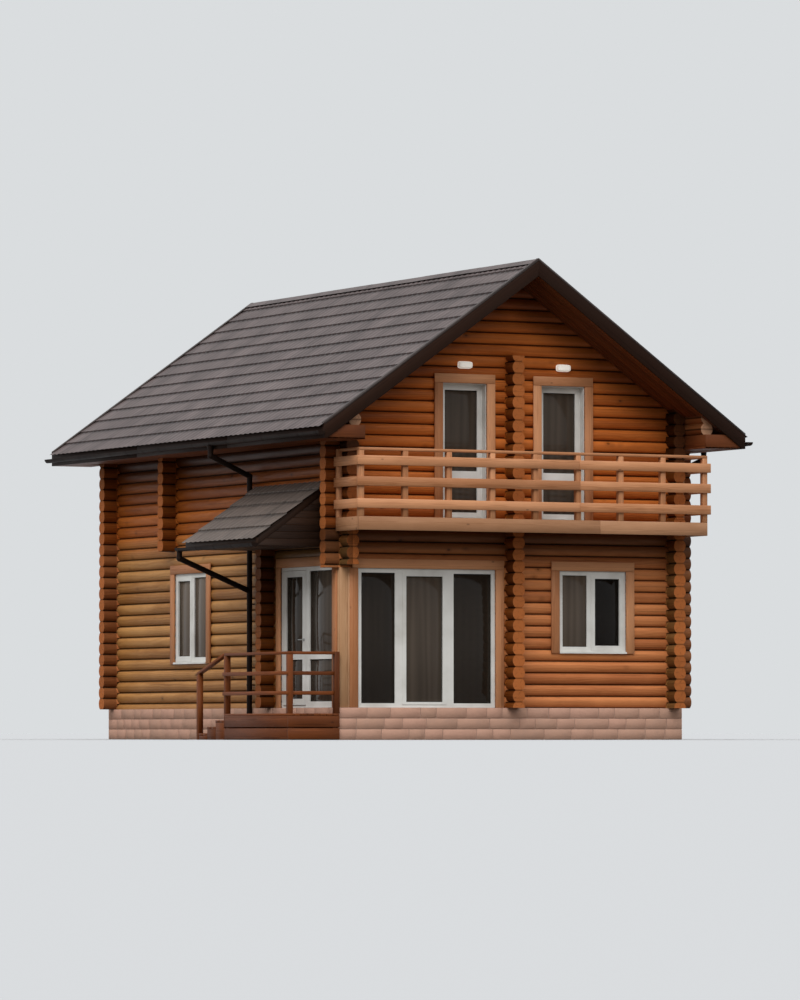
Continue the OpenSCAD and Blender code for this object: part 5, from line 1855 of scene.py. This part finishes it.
@dataclass
class Balcony:
    """Beams, deck boards, posts, rails and handrail of the balcony."""

    house: House
    beam_t: float = 0.060
    beam_join: float = 1.18
    posts: int = 9
    post: float = 0.090
    rail_h: float = 0.150
    rail_t: float = 0.036
    rail_join: int = 5
    join_shift: float = 0.009
    seam: float = 0.001
    cap_t: float = 0.046
    board_w: float = 0.118
    gap: float = 0.006
    wall_clear: float = 0.003
    shares: tuple[float, ...] = (0.12, 0.44, 0.745)
    screws: tuple[tuple[float, float], ...] = ((-0.018, 0.28), (0.018, 0.72))

    def build(self) -> None:
        """Builds the balcony from its beams up."""
        self._beams()
        self._deck()
        self._front()
        self._ends()

    def _beams(self) -> None:
        """The edge beam in two lengths and the side beams."""
        box = Box.of("balcony_beams")
        boards = Boards(51, 0.005)
        front = box.ends(Y, self.beam_t)[0]
        for span in ((box.low[X], self.beam_join),
                     (self.beam_join + 2 * self.seam, box.high[X])):
            boards.fill(box, X, Z, {X: span, Y: front})
        for span in box.ends(X, self.beam_t):
            boards.fill(box, Y, Z, {X: span, Y: (front[1], box.high[Y])})
        boards.dress("balcony_beam_timbers", "balcony_beam", "balcony_wood", "balcony_beams")

    def _deck(self) -> None:
        """Deck boards along the front, stopped beside the side walls' log ends."""
        box = Box.of("balcony_deck")
        boards = Boards(52)
        count = round(box.size[Y] / self.board_w)
        tip = Box.of("left_wall_upper").low[Y] - self.house.fit
        clear = self.house.half - self.house.log_r - self.wall_clear
        for span in zip(*strips(box.low[Y], box.high[Y], count, self.gap)):
            reach = box.high[X] if span[1] < tip else clear
            boards.fill(box, X, Y, {X: (-reach, reach), Y: span})
        boards.dress("balcony_deck_boards", "balcony_pine", "balcony_wood", "balcony_deck")

    def _front(self) -> None:
        """Posts, three boards outside them and a flat handrail."""
        box, beams = Box.of("balcony_front_rail"), Box.of("balcony_beams")
        boards = Boards(53, 0.005)
        face, cap = beams.low[Y], box.high[Z] - self.cap_t
        half = beams.high[X] - self.post / 2
        xs = np.linspace(-half, half, self.posts)
        depth = (face, face + self.post)
        boards.fill(box, Z, X, {X: (xs - self.post / 2, xs + self.post / 2), Y: depth,
                                Z: (box.low[Z], cap)})
        for number, level in enumerate(levels(box, self.shares, self.rail_h)):
            join = xs[self.rail_join] + (self.join_shift if number == 1 else 0.0)
            for span in ((box.low[X], join - self.seam), (join + self.seam, box.high[X])):
                boards.fill(box, X, Z, {X: span, Y: (face - self.rail_t, face), Z: level})
            boards.screws(np.array([[x + dx, face - self.rail_t, level[0] + self.rail_h * share]
                                    for x in xs for dx, share in self.screws]), Y, -1.0)
        boards.fill(beams, X, Y, {Y: depth, Z: (cap, box.high[Z])})
        boards.dress("balcony_front_boards", "balcony_pine", "balcony_wood",
                     "balcony_front_rail")

    def _ends(self) -> None:
        """The short returns to the wall: a wall post, three boards and a flat handrail."""
        box = Box.of("balcony_end_rails")
        boards = Boards(54, 0.005)
        outer = box.high[X] - self.rail_t
        post = box.ends(Y, self.post)[1]
        for side in (-1, 1):
            within = sided(side, self.house.wall_out, outer)
            boards.fill(box, Z, Y, {X: within, Y: post, Z: (box.low[Z], box.high[Z] - self.seam)})
            boards.fill(box, Y, X, {X: within, Z: box.ends(Z, self.cap_t)[1],
                                    Y: (box.low[Y] + self.post, post[0] - self.seam)})
            for level in levels(box, self.shares, self.rail_h):
                boards.fill(box, Y, Z, {X: sided(side, outer, box.high[X]), Z: level})
        boards.dress("balcony_end_boards", "balcony_pine", "balcony_wood", "balcony_end_rails")


@dataclass
class Porch:
    """Deck, skirts, steps and rails of the side porch."""

    house: House
    post: float = 0.085
    foot_post: float = 0.08
    board_t: float = 0.028
    deck_t: float = 0.035
    rail_h: float = 0.060
    cap_t: float = 0.046
    board_w: float = 0.112
    gap: float = 0.007
    skirt_foot: float = 0.012
    skirt_gap: float = 0.018
    skirt_top: float = 0.003
    tread_t: float = 0.040
    tread_gap: float = 0.006
    riser_in: float = 0.015
    riser_t: float = 0.025
    cheek_t: float = 0.030
    cheek_in: float = 0.012
    newel_h: float = 1.075
    seam: float = 0.001
    shares: tuple[float, ...] = (0.30, 0.62)

    def build(self) -> None:
        """Builds the porch from the ground up."""
        for node, piece, seed, ease, lay in (
                ("porch_deck", "porch_deck_boards", 61, 0.003, self._deck),
                ("porch_steps", "porch_step_boards", 62, 0.003, self._steps),
                ("porch_outer_rail", "porch_outer_boards", 63, 0.004, self._outer_rail),
                ("porch_front_rail", "porch_front_boards", 64, 0.004, self._front_rail),
                ("porch_stair_rail", "porch_stair_boards", 65, 0.004, self._stair_rail)):
            boards = Boards(seed, ease)
            lay(boards, Box.of(node))
            boards.dress(piece, "porch_stain", "porch_wood", node)

    def _deck(self, boards: Boards, box: Box) -> None:
        """Deck boards along the wall over a skirt of two boards a side and corner posts.

        Args:
            boards: The shape that takes them.
            box: The deck's box.
        """
        count = round(box.size[X] / self.board_w)
        top = box.high[Z] - self.deck_t
        boards.fill(box, Y, X, {X: strips(box.low[X], box.high[X], count, self.gap),
                                Z: (top, box.high[Z])})
        low, high = top / 2 - self.skirt_gap / 2, top / 2 + self.skirt_gap / 2
        for level in ((self.skirt_foot, low), (high, top - self.skirt_top)):
            for edge in box.ends(Y, self.board_t):
                boards.fill(box, X, Z, {Y: edge, Z: level})
            boards.fill(box, Y, Z, {
                X: box.ends(X, self.board_t)[0], Z: level,
                Y: (box.low[Y] + self.board_t, box.high[Y] - self.board_t)})
        inset = self.board_t + self.house.fit
        core = Box(box.low + inset, box.high - inset)
        for x in core.ends(X, self.foot_post):
            for y in core.ends(Y, self.foot_post):
                boards.fill(box, Z, X, {X: x, Y: y, Z: (0.0, top - self.house.fit)})

    def _steps(self, boards: Boards, _: Box) -> None:
        """Each step: a tread of two boards, a riser and a cheek at each side.

        Args:
            boards: The shape that takes them.
            _: The flight's box, in place of which the steps' own boxes serve.
        """
        for box in solids("porch_steps"):
            under = (0.0, box.high[Z] - self.tread_t - self.seam)
            middle, half = box.middle[Y], self.tread_gap / 2
            for span in ((box.low[Y], middle - half), (middle + half, box.high[Y])):
                boards.fill(box, X, Y, {Y: span, Z: box.ends(Z, self.tread_t)[1]})
            inset, rear = self.cheek_t + self.seam, box.high[Y] - self.riser_in
            boards.fill(box, X, Z, {X: (box.low[X] + inset, box.high[X] - inset),
                                    Y: (rear - self.riser_t, rear), Z: under})
            for edge in box.ends(X, self.cheek_t):
                boards.fill(box, Y, Z, {X: edge, Y: (box.low[Y], box.high[Y] - self.cheek_in),
                                        Z: under})

    def _outer_rail(self, boards: Boards, box: Box) -> None:
        """Two posts with boards outside them and a flat handrail.

        Args:
            boards: The shape that takes them.
            box: The railing's box.
        """
        inner = box.low[X] + self.board_t
        depth, cap = (inner, inner + self.post), box.high[Z] - self.cap_t
        for edge in box.ends(Y, self.post):
            boards.fill(box, Z, X, {X: depth, Y: edge, Z: (box.low[Z], cap)})
        boards.fill(box, Y, X, {X: depth, Z: (cap, box.high[Z])})
        for level in levels(box, self.shares, self.rail_h):
            boards.fill(box, Y, Z, {X: (box.low[X], inner), Z: level})

    def _front_rail(self, boards: Boards, box: Box) -> None:
        """A wall post, boards between the posts and a flat handrail.

        Args:
            boards: The shape that takes them.
            box: The railing's box.
        """
        wall = box.ends(X, self.post)[1]
        boards.fill(box, Z, X, {X: wall})
        boards.fill(box, X, Y, {X: (box.low[X], wall[0] - self.seam),
                                Z: box.ends(Z, self.cap_t)[1]})
        near = box.middle[Y] - self.board_t / 2
        for level in levels(box, self.shares, self.rail_h):
            boards.fill(box, X, Z, {X: (box.low[X], wall[0]), Y: (near, near + self.board_t),
                                    Z: level})

    def _stair_rail(self, boards: Boards, box: Box) -> None:
        """The newel at the foot of the steps and the sloping handrail.

        Args:
            boards: The shape that takes them.
            box: The railing's box.
        """
        newel, foot = box.ends(Y, self.post)[1]
        head = box.high[Z]
        slope = (head - self.cap_t - self.newel_h) / (newel - box.low[Y])
        low = self.newel_h - slope * self.post
        for outline, along in (
                ([[newel, 0.0], [foot, 0.0], [foot, low], [newel, self.newel_h]], (0, 1)),
                ([[box.low[Y], head - self.cap_t], [box.low[Y], head],
                  [foot, low + self.cap_t], [foot, low + self.seam]], (1, -slope))):
            boards.prism(outline, box.low[X], box.high[X], along, X)


@dataclass
class Lamps:
    """The two wall lamps: a rounded cover on a base plate."""

    house: House
    around: int = 32
    down: int = 14
    squareness: float = 0.45
    plate: float = 0.014
    crown: float = 0.02
    inset: tuple[float, float] = (0.96, 0.92)

    def build(self) -> None:
        """Builds both covers.

        A cover is a superellipsoid: along each direction the place is the half size times
        the signed power of a sine or cosine, and its back is cut flat at the plate.
        """
        shape = Shape()
        edge = self._squared(ring_profile(1.0, self.around))
        shrink, out = self._squared(np.array([f(np.linspace(0, math.pi / 2, self.down))
                                              for f in (np.cos, np.sin)]))
        shrink[-1] = self.crown
        for box in solids("wall_lamps"):
            outline = edge * box.size[[X, Z]] / 2
            front = box.high[Y] - self.plate
            cover = np.zeros((self.down, self.around, 3))
            cover[:, :, [X, Z]] = (box.middle[[X, Z]]
                                   + outline[None] * self.inset * shrink[:, None, None])
            cover[:, :, Y] = front - (box.size[Y] - self.plate) * out[:, None]
            base = np.zeros((2, self.around, 3))
            base[:, :, [X, Z]] = box.middle[[X, Z]] + outline
            base[:, :, Y] = [[box.high[Y]], [front]]
            loft(shape, cover)
            loft(shape, base)
        shape.dress("lamp_covers", "lamp_white", "lamp_white", "wall_lamps", smooth=40)

    def _squared(self, value: np.ndarray) -> np.ndarray:
        """Signed power that squares a circle off."""
        return np.sign(value) * np.abs(value) ** self.squareness


@dataclass
class Studio:
    """Pale floor and background, soft light and the camera at the photograph's angle."""

    pale: Colour = srgb(218, 221, 223)
    floor_pale: Colour = srgb(176, 178, 180)
    bounce: Colour = (0.10, 0.095, 0.085)
    reach: float = 400.0
    floor_z: float = -0.0005
    camera_at: tuple[float, float, float] = (-43.449, -80.980, 0.117)
    camera_yaw: float = -27.12
    camera_tilt: float = 2.35
    lens: float = 203.98
    sensor: float = 36.0
    farthest: float = 2000.0
    sky_from: float = -0.05
    sky_to: float = 0.9
    sky_low: float = 0.32
    sky_high: float = 1.50
    key_strength: float = 1.6
    key_spread: float = 45.0
    key_lean: float = 42.0
    key_turn: float = -38.0

    def build(self) -> None:
        """Builds floor, world, light and camera."""
        self._floor()
        self._world()
        light = bpy.data.lights.new("key", "SUN")
        light.energy = self.key_strength
        light.angle = math.radians(self.key_spread)
        self._hold(light, (0.0, 0.0, 0.0), self.key_lean, self.key_turn)
        camera = bpy.data.cameras.new("camera")
        camera.lens = self.lens
        camera.sensor_width = self.sensor
        camera.clip_end = self.farthest
        bpy.context.scene.camera = self._hold(
            camera, self.camera_at, 90 + self.camera_tilt, self.camera_yaw)
        bpy.context.scene.view_settings.view_transform = "Standard"

    def _hold(self, data: bpy.types.ID, place: Sequence[float], lean: float,
              turn: float) -> bpy.types.Object:
        """Puts a light or a camera into the scene.

        Args:
            data: The light or the camera.
            place: Where it stands.
            lean: Degrees by which it leans from looking straight down.
            turn: Degrees by which it is turned round the vertical.

        Returns:
            The object that holds it.
        """
        holder = bpy.data.objects.new(data.name, data)
        holder.location = place
        holder.rotation_euler = (math.radians(lean), 0.0, math.radians(turn))
        bpy.context.scene.collection.objects.link(holder)
        return holder

    def _seen(self, s: Shader) -> Sock:
        """Tells the rays that show the backdrop from those that light the house.

        Args:
            s: The tree that is built.

        Returns:
            1 for rays from the camera, from a gloss or through glass, and 0 for others.
        """
        rays = s.node("ShaderNodeLightPath").link.node.outputs
        camera, glossy, through = (Sock(s, rays[f"Is {ray} Ray"])
                                   for ray in ("Camera", "Glossy", "Transmission"))
        return camera.most(glossy).most(through)

    def _floor(self) -> None:
        """A wide floor, pale to the eye and darker as a reflector."""
        s = Shader("studio_floor")
        colour = s.mix(self._seen(s), self.bounce, self.floor_pale)
        matt = s.node("ShaderNodeBsdfDiffuse", None, {"Color": colour})
        s.node("ShaderNodeOutputMaterial", None, {"Surface": matt})
        shape = Shape()
        corners = np.array([[-1, -1, 0], [1, -1, 0], [1, 1, 0], [-1, 1, 0]]) * self.reach
        shape.add(corners + [0, 0, self.floor_z], [np.array([[0, 1, 2, 3]])])
        shape.make("studio_floor", s.owner)

    def _world(self) -> None:
        """A sky that brightens towards its top and shows as a plain backdrop."""
        world = bpy.data.worlds.new("studio")
        bpy.context.scene.world = world
        s = Shader("studio", world)
        height = s.split(s.coordinates("Generated"))[Z]
        strength = height.step(self.sky_from, self.sky_to, self.sky_low, self.sky_high)
        light = s.tint((1.0, 1.0, 1.0), strength)
        colour = s.mix(self._seen(s), light, self.pale)
        background = s.node("ShaderNodeBackground", None, {"Color": colour})
        s.node("ShaderNodeOutputWorld", None, {"Surface": background})


def main() -> None:
    """Builds the finishes and then every sub-assembly in order."""
    logging.basicConfig(level=logging.INFO, format="%(message)s")
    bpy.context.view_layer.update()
    for finish in FINISHES:
        finish.keep()
    house = House.from_frame()
    kinds = (LogBody, Plinth, Windows, Entrance, MainRoof, Rainwater, Canopy, Balcony, Porch,
             Lamps)
    for part in (*(kind(house) for kind in kinds), Studio()):
        part.build()
        LOG.info("%s built", type(part).__name__)


if __name__ == "__main__":
    main()
